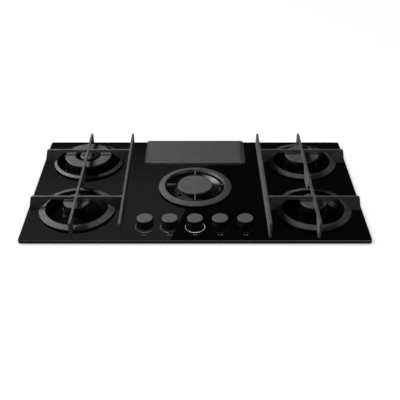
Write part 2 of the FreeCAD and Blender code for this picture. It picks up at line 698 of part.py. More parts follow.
def burner_ring(burner):
    """Raised ring round the bowl, standing on a narrow foot so that its rim overhangs the glass."""
    bore = burner.ring_bore
    foot_out = RING_RADIUS - RING_FOOT_INSET
    foot_in = foot_out - RING_FOOT_WIDTH
    edge = above_glass(RING_EDGE_HEIGHT)
    top = above_glass(RING_TOP_HEIGHT)

    def underside(radius):
        share = (RING_RADIUS - radius) / (RING_RADIUS - bore)
        return edge + share * (top - RING_THICKNESS - edge)

    return turned([(RING_RADIUS, edge), (RING_RADIUS, edge + RING_EDGE_THICKNESS), (bore + 1.2, top),
                   (bore, top - 0.5), (bore, top - RING_THICKNESS), (foot_in, underside(foot_in)),
                   (foot_in, GLASS_TOP), (foot_out, GLASS_TOP), (foot_out, underside(foot_out))],
                  burner.x, burner.y)


def port_cuts(burner, radius, count, z0):
    cuts = []
    for index in range(count):
        slot = box(radius - HEAD_WALL * 2, radius + HEAD_WALL, -PORT_WIDTH / 2, PORT_WIDTH / 2,
                   z0, z0 + PORT_HEIGHT)
        slot.rotate(FreeCAD.Vector(0, 0, 0), UP, 360.0 * (index + 0.5) / count)
        slot.translate(FreeCAD.Vector(burner.x, burner.y, 0))
        cuts.append(slot)
    return cuts


def flame_head(burner):
    """Aluminium spreader: a skirt inside the cup, a tapered base and a wall with flame ports."""
    outer = burner.head_radius
    wall = outer - HEAD_WALL
    skirt = burner.cup_radius - CUP_WALL - CUP_BORE_PLAY
    seat = burner.seat
    base_top = seat + HEAD_BASE
    throat = skirt - SKIRT_WALL
    profile = [(throat, seat - HEAD_SKIRT), (skirt, seat - HEAD_SKIRT), (skirt, seat),
               (burner.cup_radius, seat), (outer, base_top), (outer, burner.head_top),
               (wall, burner.head_top), (wall, base_top + 1), (throat, seat + SKIRT_WALL)]
    shape = turned(profile, burner.x, burner.y)
    return cut_all(shape, port_cuts(burner, outer, burner.ports, base_top + 2))


def crown_head(burner):
    """Spreader of the large burner: an outer crown and a small one in the middle, with air gaps between."""
    outer = burner.head_radius
    wall = outer - HEAD_WALL
    ring_in = CROWN_INNER_RADIUS + CROWN_GAP
    ring_wall = ring_in + HEAD_WALL
    small = INNER_CAP_RADIUS - CROWN_GAP
    small_wall = small - HEAD_WALL
    skirt = burner.cup_radius - CUP_WALL - CUP_BORE_PLAY
    seat = burner.seat
    base_top = seat + HEAD_BASE
    top = burner.head_top
    profile = [(small_wall, seat - HEAD_SKIRT), (skirt, seat - HEAD_SKIRT), (skirt, seat),
               (burner.cup_radius, seat), (outer, base_top), (outer, top), (wall, top), (wall, base_top),
               (ring_wall, base_top), (ring_wall, top), (ring_in, top), (ring_in, base_top),
               (small, base_top), (small, top), (small_wall, top)]
    shape = turned(profile, burner.x, burner.y)
    tools = port_cuts(burner, outer, burner.ports, base_top + 2)
    gap_in = small + CROWN_GAP
    gap_out = skirt - CROWN_GAP
    gap = turned([(gap_in, seat - HEAD_SKIRT - 1), (gap_out, seat - HEAD_SKIRT - 1), (gap_out, base_top + 1),
                  (gap_in, base_top + 1)], burner.x, burner.y)
    for half_x, half_y in ((gap_out + 1, CROWN_WEB / 2), (CROWN_WEB / 2, gap_out + 1)):
        gap = gap.cut(box(burner.x - half_x, burner.x + half_x, burner.y - half_y, burner.y + half_y,
                          seat - HEAD_SKIRT - 2, base_top + 2))
    tools += gap.Solids
    return cut_all(shape, tools)


def cap_profile(radius, top, spigot_radius, dome=0.6):
    low = top - CAP_THICKNESS
    return [(0, low - CAP_SPIGOT), (spigot_radius, low - CAP_SPIGOT), (spigot_radius, low),
            (radius - 1.5, low), (radius, low + 1.2), (radius, top - 2.2), (radius - 0.7, top - dome - 0.3),
            (radius - 2.5, top - dome + 0.1), (0, top)]


def burner_cap(burner):
    spigot = burner.head_radius - HEAD_WALL - CUP_BORE_PLAY
    return turned(cap_profile(burner.cap_radius, burner.cap_top, spigot), burner.x, burner.y)


def crown_cap(burner):
    """Ring-shaped cap; two shallow grooves mark its left and right sides."""
    top = burner.cap_top
    low = top - CAP_THICKNESS
    outer = burner.cap_radius
    inner = CROWN_INNER_RADIUS
    spigot_out = burner.head_radius - HEAD_WALL - CUP_BORE_PLAY
    spigot_in = inner + CROWN_GAP + HEAD_WALL + CUP_BORE_PLAY
    shape = turned([(inner, low + 1.0), (inner + 1, low), (spigot_in, low), (spigot_in, low - CAP_SPIGOT),
                    (spigot_out, low - CAP_SPIGOT), (spigot_out, low), (outer - 1.5, low), (outer, low + 1.2),
                    (outer, top - 2.6), (outer - 1.0, top - 1.4), (inner + 2, top), (inner, top - 1.0)],
                   burner.x, burner.y)
    middle = (outer + inner) / 2
    half = CROWN_GROOVE_WIDTH / 2
    grooves = [box(burner.x + side * middle - outer, burner.x + side * middle + outer,
                   burner.y - half, burner.y + half, top - CROWN_GROOVE_DEPTH, top + 1) for side in (-1, 1)]
    keep = cylinder(inner - 1, low, top + 2, burner.x, burner.y)
    return cut_all(shape, [groove.cut(keep) for groove in grooves])


def inner_cap(burner):
    spigot = INNER_CAP_RADIUS - CROWN_GAP - HEAD_WALL - CUP_BORE_PLAY
    return turned(cap_profile(INNER_CAP_RADIUS, burner.cap_top, spigot), burner.x, burner.y)


def electrode(burner):
    """Ceramic insulator with a steel pin beside the flame head."""
    x, y = around(burner.x, burner.y, burner.probe_radius, ELECTRODE_ANGLE)
    floor = burner.floor_top
    tip = burner.head_top - PROBE_TIP_DROP
    collar = ELECTRODE_RADIUS + PROBE_COLLAR
    neck = ELECTRODE_RADIUS * 0.8
    shoulder = floor + PROBE_COLLAR_HEIGHT
    pin_low = tip - PROBE_PIN_LENGTH
    return turned([(0, floor - PROBE_DROP), (ELECTRODE_RADIUS, floor - PROBE_DROP), (ELECTRODE_RADIUS, floor),
                   (collar, floor), (collar, shoulder), (neck, shoulder + 1), (neck, pin_low - 1),
                   (PROBE_PIN_RADIUS, pin_low), (PROBE_PIN_RADIUS, tip), (0, tip)], x, y)


def thermocouple(burner):
    """Steel probe beside the flame head."""
    x, y = around(burner.x, burner.y, burner.probe_radius, THERMOCOUPLE_ANGLE)
    floor = burner.floor_top
    tip = burner.head_top - PROBE_TIP_DROP
    collar = THERMOCOUPLE_RADIUS + PROBE_COLLAR
    shoulder = floor + PROBE_COLLAR_HEIGHT
    return turned([(0, floor - PROBE_DROP), (THERMOCOUPLE_RADIUS, floor - PROBE_DROP),
                   (THERMOCOUPLE_RADIUS, floor), (collar, floor), (collar, shoulder),
                   (THERMOCOUPLE_RADIUS, shoulder), (THERMOCOUPLE_RADIUS, tip - 2),
                   (THERMOCOUPLE_RADIUS * 0.5, tip), (0, tip)], x, y)


def fin_support(burner):
    """Four low pan supports round the centre burner, joined by a ring that lies on the bowl's ledge."""
    ledge_out = burner.ring_bore - RING_FOOT_INSET - 0.6
    z0 = above_glass(BOWL_SHEET)
    ring = turned([(ledge_out - FIN_RING_WIDTH, z0), (ledge_out, z0), (ledge_out, z0 + FIN_RING_THICKNESS),
                   (ledge_out - FIN_RING_WIDTH, z0 + FIN_RING_THICKNESS)], burner.x, burner.y)
    pieces = [ring]
    for index in range(4):
        fin = box(FIN_INNER_RADIUS, ledge_out - 0.5, -FIN_THICKNESS / 2, FIN_THICKNESS / 2,
                  z0 + 0.5, above_glass(FIN_HEIGHT))
        fin.rotate(FreeCAD.Vector(0, 0, 0), UP, 90.0 * index)
        fin.translate(FreeCAD.Vector(burner.x, burner.y, 0))
        pieces.append(fin)
    return fuse_all(pieces)


# ---------------------------------------------------------------- grates
def blade(points, radii, across, thickness):
    """Upright cast bar; across is the direction of its thickness."""
    offset = across * (thickness / 2)
    wire = rounded_wire([point - offset for point in points], radii)
    return Part.Face(wire).extrude(across * thickness)


def leg_edge(centre, side):
    """Edge of a leg that steps over the ring of the burner at this place; side +1 lies beyond the burner.

    The points run from the foot up to the arch.
    """
    outside = centre + side * (RING_RADIUS + GRATE_RING_GAP)
    above_edge = above_glass(RING_EDGE_HEIGHT + GRATE_RING_RISE)
    above_ring = above_glass(RING_TOP_HEIGHT + GRATE_RING_RISE + 0.5)
    return [(outside, above_glass(GRATE_PAD_HEIGHT)), (outside, above_edge),
            (centre + side * (RING_RADIUS - GRATE_RING_STEP), above_ring),
            (centre + side * GRATE_ARCH_RADIUS, above_glass(GRATE_HEIGHT - GRATE_BAR_DEPTH))]


LEG_RADII = [0, 0, 2.0, GRATE_CORNER]


def lengthwise_bar(x):
    """Bar over two burners: a foot at each end and one between the burners."""
    low = above_glass(GRATE_PAD_HEIGHT)
    top = above_glass(GRATE_HEIGHT)
    near = FRONT_BURNER_FROM_FRONT
    far = REAR_BURNER_FROM_FRONT
    outline = [(GRATE_FRONT, low)] + leg_edge(near, -1) + leg_edge(near, 1)[::-1]
    outline += leg_edge(far, -1) + leg_edge(far, 1)[::-1]
    outline += [(GRATE_REAR, low), (GRATE_REAR - GRATE_CORNER, top), (GRATE_FRONT + GRATE_CORNER, top)]
    radii = [0] + (LEG_RADII + LEG_RADII[::-1]) * 2 + [0, GRATE_CORNER, GRATE_CORNER]
    points = [FreeCAD.Vector(x, from_front(distance), z) for distance, z in outline]
    return blade(points, radii, FreeCAD.Vector(1, 0, 0), GRATE_BAR)


def side_plate():
    """Full-height bar along the inner side of the grate."""
    low = above_glass(GRATE_PAD_HEIGHT)
    top = above_glass(GRATE_HEIGHT)
    outline = [(GRATE_FRONT, low), (GRATE_REAR, low), (GRATE_REAR - GRATE_CORNER, top),
               (GRATE_FRONT + GRATE_CORNER, top)]
    points = [FreeCAD.Vector(GRATE_SIDE_BAR_X, from_front(distance), z) for distance, z in outline]
    return blade(points, [0, 0, GRATE_CORNER, GRATE_CORNER], FreeCAD.Vector(1, 0, 0), GRATE_BAR)


def crosswise_bar(distance):
    """Bar over a burner, from the side bar to the foot near the end of the glass."""
    low = above_glass(GRATE_PAD_HEIGHT)
    top = above_glass(GRATE_HEIGHT)
    inner = GRATE_SIDE_BAR_X
    outline = [(inner, low)] + leg_edge(SIDE_BURNER_X, -1) + leg_edge(SIDE_BURNER_X, 1)[::-1]
    outline += [(GRATE_OUTER_X, low), (GRATE_OUTER_X - GRATE_END_LEAN, top), (inner, top)]
    radii = [0] + LEG_RADII + LEG_RADII[::-1] + [0, GRATE_CORNER, 0]
    y = from_front(distance)
    points = [FreeCAD.Vector(x, y, z) for x, z in outline]
    return blade(points, radii, FreeCAD.Vector(0, 1, 0), GRATE_BAR)


def pad_boxes():
    """Rubber pads under the right-hand grate as (x0, x1, distance from the front, and its end).

    A pad starts at the outer end of its foot and is no longer than the foot.
    """
    half = GRATE_PAD_WIDTH / 2
    length = GRATE_PAD_LENGTH
    front = GRATE_FRONT + GRATE_PAD_INSET
    rear = GRATE_REAR - 0.5
    middle = (FRONT_BURNER_FROM_FRONT + REAR_BURNER_FROM_FRONT) / 2
    clear = RING_RADIUS + GRATE_RING_GAP
    side = GRATE_SIDE_BAR_X
    outer = GRATE_OUTER_X - GRATE_PAD_INSET
    pads = [(side - half, side + half, start, start + length)
            for start in (front, middle - length / 2, rear - length)]
    pads += [(SIDE_BURNER_X - half, SIDE_BURNER_X + half, start, end)
             for start, end in ((front, min(front + length, FRONT_BURNER_FROM_FRONT - clear)),
                                (middle - length / 2, middle + length / 2),
                                (REAR_BURNER_FROM_FRONT + clear, rear))]
    pads += [(max(outer - length, SIDE_BURNER_X + clear), outer, distance - half, distance + half)
             for distance in (FRONT_BURNER_FROM_FRONT, REAR_BURNER_FROM_FRONT)]
    return pads


def grate():
    return fuse_all([side_plate(), lengthwise_bar(SIDE_BURNER_X), crosswise_bar(FRONT_BURNER_FROM_FRONT),
                     crosswise_bar(REAR_BURNER_FROM_FRONT)])


def grate_pads():
    top = above_glass(GRATE_PAD_HEIGHT)
    return Part.makeCompound([box(x0, x1, from_front(start), from_front(end), GLASS_TOP, top)
                              for x0, x1, start, end in pad_boxes()])


def mirrored(shape):
    return shape.mirror(FreeCAD.Vector(0, 0, 0), FreeCAD.Vector(1, 0, 0))


# ---------------------------------------------------------------- knobs, stems, valves
def d_section(radius, flat, z0, z1, x):
    """Round bar with one flat, for the stem and the bores that turn it."""
    return cylinder(radius, z0, z1, x, KNOB_Y).common(
        box(x - radius, x + radius, KNOB_Y - flat, KNOB_Y + radius, z0, z1))


def knob(x):
    low = above_glass(KNOB_GAP)
    top = above_glass(KNOB_TOP)
    upper = KNOB_RADIUS - KNOB_TAPER
    inside = top - KNOB_SHELL - 1
    shell = turned([(KNOB_RADIUS - KNOB_SHELL, low), (KNOB_RADIUS, low), (upper, top - KNOB_EDGE),
                    (upper - KNOB_EDGE, top), (0, top), (0, inside), (upper - KNOB_SHELL, inside)], x, KNOB_Y)
    pieces = [shell, cylinder(KNOB_HUB_RADIUS, low + KNOB_HUB_RISE, inside + 1, x, KNOB_Y)]
    reach = upper - KNOB_SHELL / 2
    for half_x, half_y in ((reach, KNOB_RIB / 2), (KNOB_RIB / 2, reach)):
        pieces.append(box(x - half_x, x + half_x, KNOB_Y - half_y, KNOB_Y + half_y,
                          low + KNOB_RIB_RISE, inside + 1))
    bore = d_section(STEM_RADIUS, STEM_FLAT, low, above_glass(STEM_TOP), x)
    return fuse_all(pieces).cut(bore)


def stem_bottom():
    return VALVE_TOP - STEM_IN_PLUG


def valve_stem(x):
    return d_section(STEM_RADIUS, STEM_FLAT, stem_bottom(), above_glass(STEM_TOP), x)


def plug_profile(grow):
    top = VALVE_TOP - 0.5
    return [(0, top - PLUG_LENGTH - grow), (PLUG_BOTTOM_RADIUS + grow, top - PLUG_LENGTH - grow),
            (PLUG_TOP_RADIUS + grow, top + grow), (0, top + grow)]


def plug_port_height():
    return VALVE_TOP - PLUG_LENGTH + PLUG_PORT_RISE


def valve_plug(x):
    """Tapered brass plug; its slot takes the stem, which slides down inside it.

    The port faces sideways when the tap is off and meets the outlet after a quarter turn.
    """
    plug = turned(plug_profile(0), x, KNOB_Y)
    slot = d_section(STEM_RADIUS + STEM_CLEARANCE, STEM_FLAT + STEM_CLEARANCE,
                     stem_bottom() - KNOB_TRAVEL - 1, VALVE_TOP + 1, x)
    height = plug_port_height()
    port = rod(PLUG_PORT, (x, KNOB_Y, height), (1, 0, 0), PLUG_TOP_RADIUS + 1)
    entry = cylinder(PLUG_PORT, height - PLUG_LENGTH, height, x, KNOB_Y)
    return cut_all(plug, [slot, port, entry])


def valve_body(x):
    """Valve block screwed to the manifold, with its bonnet plate on top."""
    half = VALVE_WIDTH / 2
    wide = VALVE_SADDLE_WIDTH / 2
    saddle_top = VALVE_BASE + VALVE_SADDLE_HEIGHT
    y0 = KNOB_Y - VALVE_HALF_DEPTH
    y1 = KNOB_Y + VALVE_HALF_DEPTH
    outlet = rod(PIPE_RADIUS + SOCKET_WALL, (x, y1 - 1, PIPE_HEIGHT), (0, 1, 0), PIPE_SOCKET + 2)
    block = fuse_all([box(x - wide, x + wide, y0, y1, VALVE_BASE, saddle_top),
                      box(x - half, x + half, y0, y1, saddle_top - 1, VALVE_TOP), outlet])
    tools = [turned(plug_profile(PLUG_CLEARANCE), x, KNOB_Y),
             rod(PIPE_RADIUS, (x, y1, PIPE_HEIGHT), (0, 1, 0), PIPE_SOCKET + 2),
             rod(PLUG_PORT, (x, KNOB_Y, plug_port_height()), (0, 1, 0), OUTLET_CHANNEL_Y),
             cylinder(PLUG_PORT, plug_port_height() - PLUG_PORT, PIPE_HEIGHT + PLUG_PORT, x,
                      KNOB_Y + OUTLET_CHANNEL_Y),
             rod(PLUG_PORT, (x, KNOB_Y + OUTLET_CHANNEL_Y, PIPE_HEIGHT), (0, 1, 0), VALVE_HALF_DEPTH),
             cylinder(GAS_PASSAGE, MANIFOLD_HEIGHT, plug_port_height(), x, KNOB_Y),
             rod(GAS_PASSAGE, (x, KNOB_Y, MANIFOLD_HEIGHT), (0, 1, 0), VALVE_HALF_DEPTH + 1),
             cylinder(PLUG_TOP_RADIUS + 0.3, VALVE_TOP - 0.6, VALVE_TOP + 1, x, KNOB_Y)]
    for seat, direction in valve_screw_seats():
        tools.append(screw_hole(seat, direction, VALVE_SCREW_LENGTH))
    block = cut_all(block, tools)
    bonnet = box(x - half, x + half, KNOB_Y - VALVE_HALF_DEPTH + SWITCH_DEPTH, y1, VALVE_TOP,
                 VALVE_TOP + VALVE_BONNET)
    bonnet = bonnet.cut(cylinder(STEM_RADIUS + STEM_PLAY, VALVE_TOP - 1, VALVE_TOP + VALVE_BONNET + 1,
                                 x, KNOB_Y))
    return [block, bonnet]


def grommet(x):
    """Rubber sleeve in the glass round the stem."""
    bore = STEM_RADIUS + STEM_PLAY
    sleeve = GROMMET_SLEEVE_RADIUS
    top = above_glass(GROMMET_HEIGHT)
    return turned([(bore, GLASS_BOTTOM), (sleeve, GLASS_BOTTOM), (sleeve, GLASS_TOP),
                   (GROMMET_RADIUS, GLASS_TOP), (GROMMET_RADIUS - 0.6, top), (bore, top)], x, KNOB_Y)


def switch_chain():
    """Ignition switches, one on each valve, joined by a flat cable."""
    y0 = KNOB_Y - VALVE_HALF_DEPTH
    pieces = [box(x - SWITCH_WIDTH / 2, x + SWITCH_WIDTH / 2, y0, y0 + SWITCH_DEPTH - 0.3, VALVE_TOP,
                  VALVE_TOP + SWITCH_HEIGHT) for x in KNOB_XS]
    middle = VALVE_TOP + SWITCH_HEIGHT / 2
    pieces.append(box(KNOB_XS[0], KNOB_XS[-1], y0 + 2, y0 + 2 + SWITCH_CABLE_WIDTH,
                      middle - SWITCH_CABLE_THICKNESS / 2, middle + SWITCH_CABLE_THICKNESS / 2))
    return fuse_all(pieces)


# ---------------------------------------------------------------- gas supply
def inlet_start():
    """Y where the manifold tube ends inside the inlet fitting."""
    return NOTCH_FRONT_Y - TRAY_SHEET - INLET_HEX_LENGTH - INLET_NECK / 2


def manifold():
    """One bent steel tube from the inlet at the rear right to the row of valves."""
    left = KNOB_XS[0] - MANIFOLD_OVERHANG
    z = MANIFOLD_HEIGHT
    route = [(left, MANIFOLD_Y, z), (INLET_X, MANIFOLD_Y, z), (INLET_X, inlet_start(), z)]
    tube = tube_along(route, MANIFOLD_RADIUS, MANIFOLD_BEND)
    bore_route = [(left + MANIFOLD_END_WALL, MANIFOLD_Y, z), route[1], (INLET_X, inlet_start() + 1, z)]
    tools = [tube_along(bore_route, MANIFOLD_BORE, MANIFOLD_BEND)]
    face = KNOB_Y + VALVE_HALF_DEPTH
    half = VALVE_SADDLE_WIDTH / 2 + 0.5
    for x in KNOB_XS:
        tools.append(box(x - half, x + half, face - MANIFOLD_RADIUS, face, 0, z * 2))
        tools.append(rod(MANIFOLD_PORT, (x, face - 1, z), (0, 1, 0), MANIFOLD_RADIUS))
    for seat, direction in valve_screw_seats():
        tools.append(screw_hole(seat, direction, VALVE_SCREW_LENGTH))
    return cut_all(tube, tools)


def inlet_fitting():
    """Threaded brass inlet: neck and nut inside the tray, relief groove and male thread in the notch."""
    inner_face = NOTCH_FRONT_Y - TRAY_SHEET
    start = inlet_start()
    axis = (0, 1, 0)
    z = MANIFOLD_HEIGHT
    corner = INLET_HEX / math.sqrt(3)
    nut_start = inner_face - INLET_HEX_LENGTH
    corners = [around(INLET_X, z, corner, angle) for angle in range(0, 361, 60)]
    hexagon = Part.makePolygon([FreeCAD.Vector(x, nut_start, height) for x, height in corners])
    nut = Part.Face(hexagon).extrude(FreeCAD.Vector(0, INLET_HEX_LENGTH, 0))
    shank = rod(INLET_THREAD_RADIUS, (INLET_X, inner_face - 1, z), axis, TRAY_SHEET + 1)
    relief = rod(INLET_THREAD_RADIUS - INLET_RELIEF_DEPTH, (INLET_X, NOTCH_FRONT_Y - 1, z), axis,
                 INLET_RELIEF_LENGTH + 2)
    thread = rod(INLET_THREAD_RADIUS, (INLET_X, NOTCH_FRONT_Y + INLET_RELIEF_LENGTH, z), axis,
                 INLET_THREAD_LENGTH)
    neck = rod(MANIFOLD_RADIUS + INLET_WALL, (INLET_X, start - INLET_NECK / 2, z), axis, INLET_NECK + 1)
    bore = rod(MANIFOLD_BORE, (INLET_X, start - 1, z), axis,
               INLET_NECK + INLET_HEX_LENGTH + INLET_RELIEF_LENGTH + INLET_THREAD_LENGTH)
    socket = rod(MANIFOLD_RADIUS, (INLET_X, start - INLET_NECK, z), axis, INLET_NECK)
    return cut_all(fuse_all([nut, shank, relief, thread, neck]), [bore, socket])


def pipe_start(index):
    return (KNOB_XS[index], KNOB_Y + VALVE_HALF_DEPTH + 1, PIPE_HEIGHT)


def burner_pipes():
    """Aluminium pipes from the valves to the burner cups, all at one height above the manifold."""
    pipes = []
    for index, burner in enumerate(BURNERS):
        dx, dy = around(0, 0, 1, burner.pipe_side)
        end = (burner.x + dx * burner.cup_radius, burner.y + dy * burner.cup_radius, PIPE_HEIGHT)
        start = pipe_start(index)
        if burner is CENTRE:
            route = [start, end]
        elif burner in (FRONT_LEFT, FRONT_RIGHT):
            route = [start, (start[0], end[1], PIPE_HEIGHT), end]
        else:
            side = math.copysign(1, burner.x)
            knee = side * (SIDE_BURNER_X - PIPE_KNEE_INSET)
            route = [start, (start[0], CENTRE.y - PIPE_SIDESTEP, PIPE_HEIGHT),
                     (knee, end[1] - PIPE_SIDESTEP, PIPE_HEIGHT),
                     (knee + side * PIPE_KNEE_RUN, end[1], PIPE_HEIGHT), end]
        pipes.append(tube_along(route, PIPE_RADIUS, PIPE_BEND))
    return Part.makeCompound(pipes)


# ---------------------------------------------------------------- ignition and mains
def spark_module():
    body = box(SPARK_X - SPARK_WIDTH / 2, SPARK_X + SPARK_WIDTH / 2, SPARK_Y - SPARK_DEPTH / 2,
               SPARK_Y + SPARK_DEPTH / 2, TRAY_SHEET, TRAY_SHEET + SPARK_HEIGHT)
    pins = []
    for index in range(len(BURNERS)):
        x = lead_start_x(index)
        pins.append(rod(SPARK_PIN_RADIUS, (x, SPARK_Y + SPARK_DEPTH / 2 - 1, lead_height()), (0, 1, 0),
                        SPARK_PIN_LENGTH + 1))
    return fuse_all([body] + pins)


def lead_start_x(index):
    return SPARK_X + (LEAD_STARTS[index] - len(BURNERS) // 2) * LEAD_PITCH


def lead_height():
    return TRAY_SHEET + LEAD_LIFT


def ignition_leads():
    """High-voltage leads along the tray's floor, each rising to the foot of its electrode."""
    leads = []
    z = lead_height()
    y0 = SPARK_Y + SPARK_DEPTH / 2 + SPARK_PIN_LENGTH
    for index, burner in enumerate(BURNERS):
        ex, ey = around(burner.x, burner.y, burner.probe_radius, ELECTRODE_ANGLE)
        x0 = lead_start_x(index)
        lane = y0 + LANE_START + LANE_PITCH * LEAD_LANES[index]
        turn = ex + LEAD_RISES[index]
        route = [(x0, y0, z), (x0, lane, z), (turn, lane, z), (turn, ey, z), (ex, ey, z),
                 (ex, ey, burner.floor_top - PROBE_DROP)]
        leads.append(tube_along(route, LEAD_RADIUS, LEAD_BEND))
    return Part.makeCompound(leads)


def terminal_block():
    """Block beside the cable hole with screw wells for the mains wires."""
    x0 = CABLE_HOLE_X - TERMINAL_WIDTH / 2
    y1 = TRAY_DEPTH / 2 - TRAY_SHEET - TERMINAL_REAR_GAP
    top = TRAY_SHEET + TERMINAL_HEIGHT
    block = box(x0, x0 + TERMINAL_WIDTH, y1 - TERMINAL_DEPTH, y1, TRAY_SHEET, top)
    xs = [CABLE_HOLE_X + (index - (TERMINAL_COUNT - 1) / 2) * TERMINAL_PITCH
          for index in range(TERMINAL_COUNT)]
    wells = [cylinder(TERMINAL_WELL_RADIUS, top - TERMINAL_WELL_DEPTH, top + 1, x, y1 - TERMINAL_DEPTH / 2)
             for x in xs]
    return cut_all(block, wells)


# ---------------------------------------------------------------- vent
def vent_cover():
    """Cast plate over the vent: flat top, sloping edge all round, feet underneath."""
    y = from_front(COVER_FRONT_FROM_FRONT) + COVER_DEPTH / 2
    top = above_glass(COVER_TOP)
    low = top - COVER_THICKNESS
    shoulder = top - COVER_BEVEL_DROP

    def loop(width, depth, radius, z):
        points = [FreeCAD.Vector(sx * width / 2, y + sy * depth / 2, z)
                  for sx, sy in ((-1, -1), (1, -1), (1, 1), (-1, 1))]
        return rounded_wire(points, [radius] * 4)

    wide = COVER_WIDTH - 2 * COVER_BEVEL_RUN
    deep = COVER_DEPTH - 2 * COVER_BEVEL_RUN
    slope = Part.makeLoft([loop(COVER_WIDTH, COVER_DEPTH, COVER_CORNER, shoulder),
                           loop(wide, deep, COVER_CORNER / 2, top)], True, True)
    plate = rounded_slab(COVER_WIDTH, COVER_DEPTH, COVER_CORNER, low, shoulder, 0, y)
    hollow = rounded_slab(wide - 2 * COVER_RIM, deep - 2 * COVER_RIM, COVER_CORNER / 2,
                          low - 1, top - COVER_RIM, 0, y)
    foot_x = (VENT_WIDTH + VENT_RIM) / 2
    foot_y = VENT_DEPTH / 2 - COVER_FOOT_RADIUS
    feet = [cylinder(COVER_FOOT_RADIUS, above_glass(VENT_SHEET), low + 1, sx * foot_x, VENT_Y + sy * foot_y)
            for sx in (-1, 1) for sy in (-1, 1)]
    return fuse_all([fuse_all([plate, slope]).cut(hollow)] + feet)


def throat_size():
    """Inner width and depth of the vent's throat."""
    return VENT_WIDTH - VENT_PLAY - 2 * VENT_SHEET, VENT_DEPTH - VENT_PLAY - 2 * VENT_SHEET


def vent_frame():
    """Sheet-metal throat through the glass: a rim on the glass, a filter ledge and a flange on the tray."""
    wide, deep = throat_size()
    top = above_glass(VENT_SHEET)
    low = TRAY_SHEET
    skin = 2 * VENT_SHEET
    rim_deep = deep + skin + 2 * VENT_RIM - VENT_RIM_TRIM
    rim = rounded_slab(wide + skin + 2 * VENT_RIM, rim_deep, VENT_CORNER, GLASS_TOP, top, 0, VENT_Y)
    body = fuse_all([rim, rounded_slab(wide + skin, deep + skin, VENT_CORNER, low, top, 0, VENT_Y)])
    ledge_top = above_glass(-FILTER_DROP - FILTER_HEIGHT)
    ledge_low = ledge_top - VENT_SHEET
    corner = VENT_CORNER - VENT_SHEET
    flange_top = low + VENT_FLANGE
    tools = [rounded_slab(wide, deep, corner, ledge_top, top + 1, 0, VENT_Y),
             rounded_slab(wide - 2 * FILTER_LEDGE, deep - 2 * FILTER_LEDGE, corner, ledge_low - 1,
                          ledge_top + 1, 0, VENT_Y),
             rounded_slab(wide, deep, corner, flange_top, ledge_low, 0, VENT_Y),
             rounded_slab(DUCT_WIDTH, DUCT_DEPTH, VENT_CORNER, low - 1, flange_top + 1, 0, VENT_Y)]
    tools += [cylinder(DUCT_HOLE_RADIUS, low - 1, flange_top + 1, x, y) for x, y in duct_holes()]
    return cut_all(body, tools)


def grease_filter():
    """Slatted filter that drops on to the ledge inside the throat."""
    throat_wide, throat_deep = throat_size()
    wide = throat_wide - FILTER_PLAY
    deep = throat_deep - FILTER_PLAY
    z0 = above_glass(-FILTER_DROP - FILTER_HEIGHT)
    z1 = above_glass(-FILTER_DROP)
    frame = rounded_slab(wide, deep, VENT_CORNER - 2, z0, z1, 0, VENT_Y)
    inside = wide - 2 * FILTER_FRAME
    half_deep = deep / 2 - FILTER_FRAME
    pitch = inside / FILTER_SLOTS
    half_open = pitch * FILTER_OPEN_SHARE / 2
    tools = []
    for index in range(FILTER_SLOTS):
        x = -inside / 2 + pitch * (index + 0.5)
        tools.append(box(x - half_open, x + half_open, VENT_Y - half_deep, VENT_Y + half_deep,
                         z0 - 1, z1 + 1))
    return cut_all(frame, tools)


# ---------------------------------------------------------------- hold-down clamps
def clamps():
    shapes = []
    for seat, direction in clamp_screw_seats():
        side = -direction[0]
        wall = side * TRAY_WIDTH / 2
        y = seat[1]
        x0, x1 = sorted((wall, wall + side * CLAMP_SHEET))
        f0, f1 = sorted((wall, wall + side * CLAMP_REACH))
        leg = box(x0, x1, y - CLAMP_WIDTH / 2, y + CLAMP_WIDTH / 2, 2, CLAMP_HEIGHT)
        foot = box(f0, f1, y - CLAMP_WIDTH / 2, y + CLAMP_WIDTH / 2, CLAMP_HEIGHT - CLAMP_SHEET, CLAMP_HEIGHT)
        shapes.append(fuse_all([leg, foot]).cut(screw_hole(seat, direction)))
    return Part.makeCompound(shapes)


def m4_screws():
    shapes = []
    for burner in BURNERS:
        shapes += [screw(seat, (0, 0, -1)) for seat in burner_screw_seats(burner)]
    shapes += [screw(seat, direction) for seat, direction in rail_screw_seats() + clamp_screw_seats()]
    return Part.makeCompound(shapes)


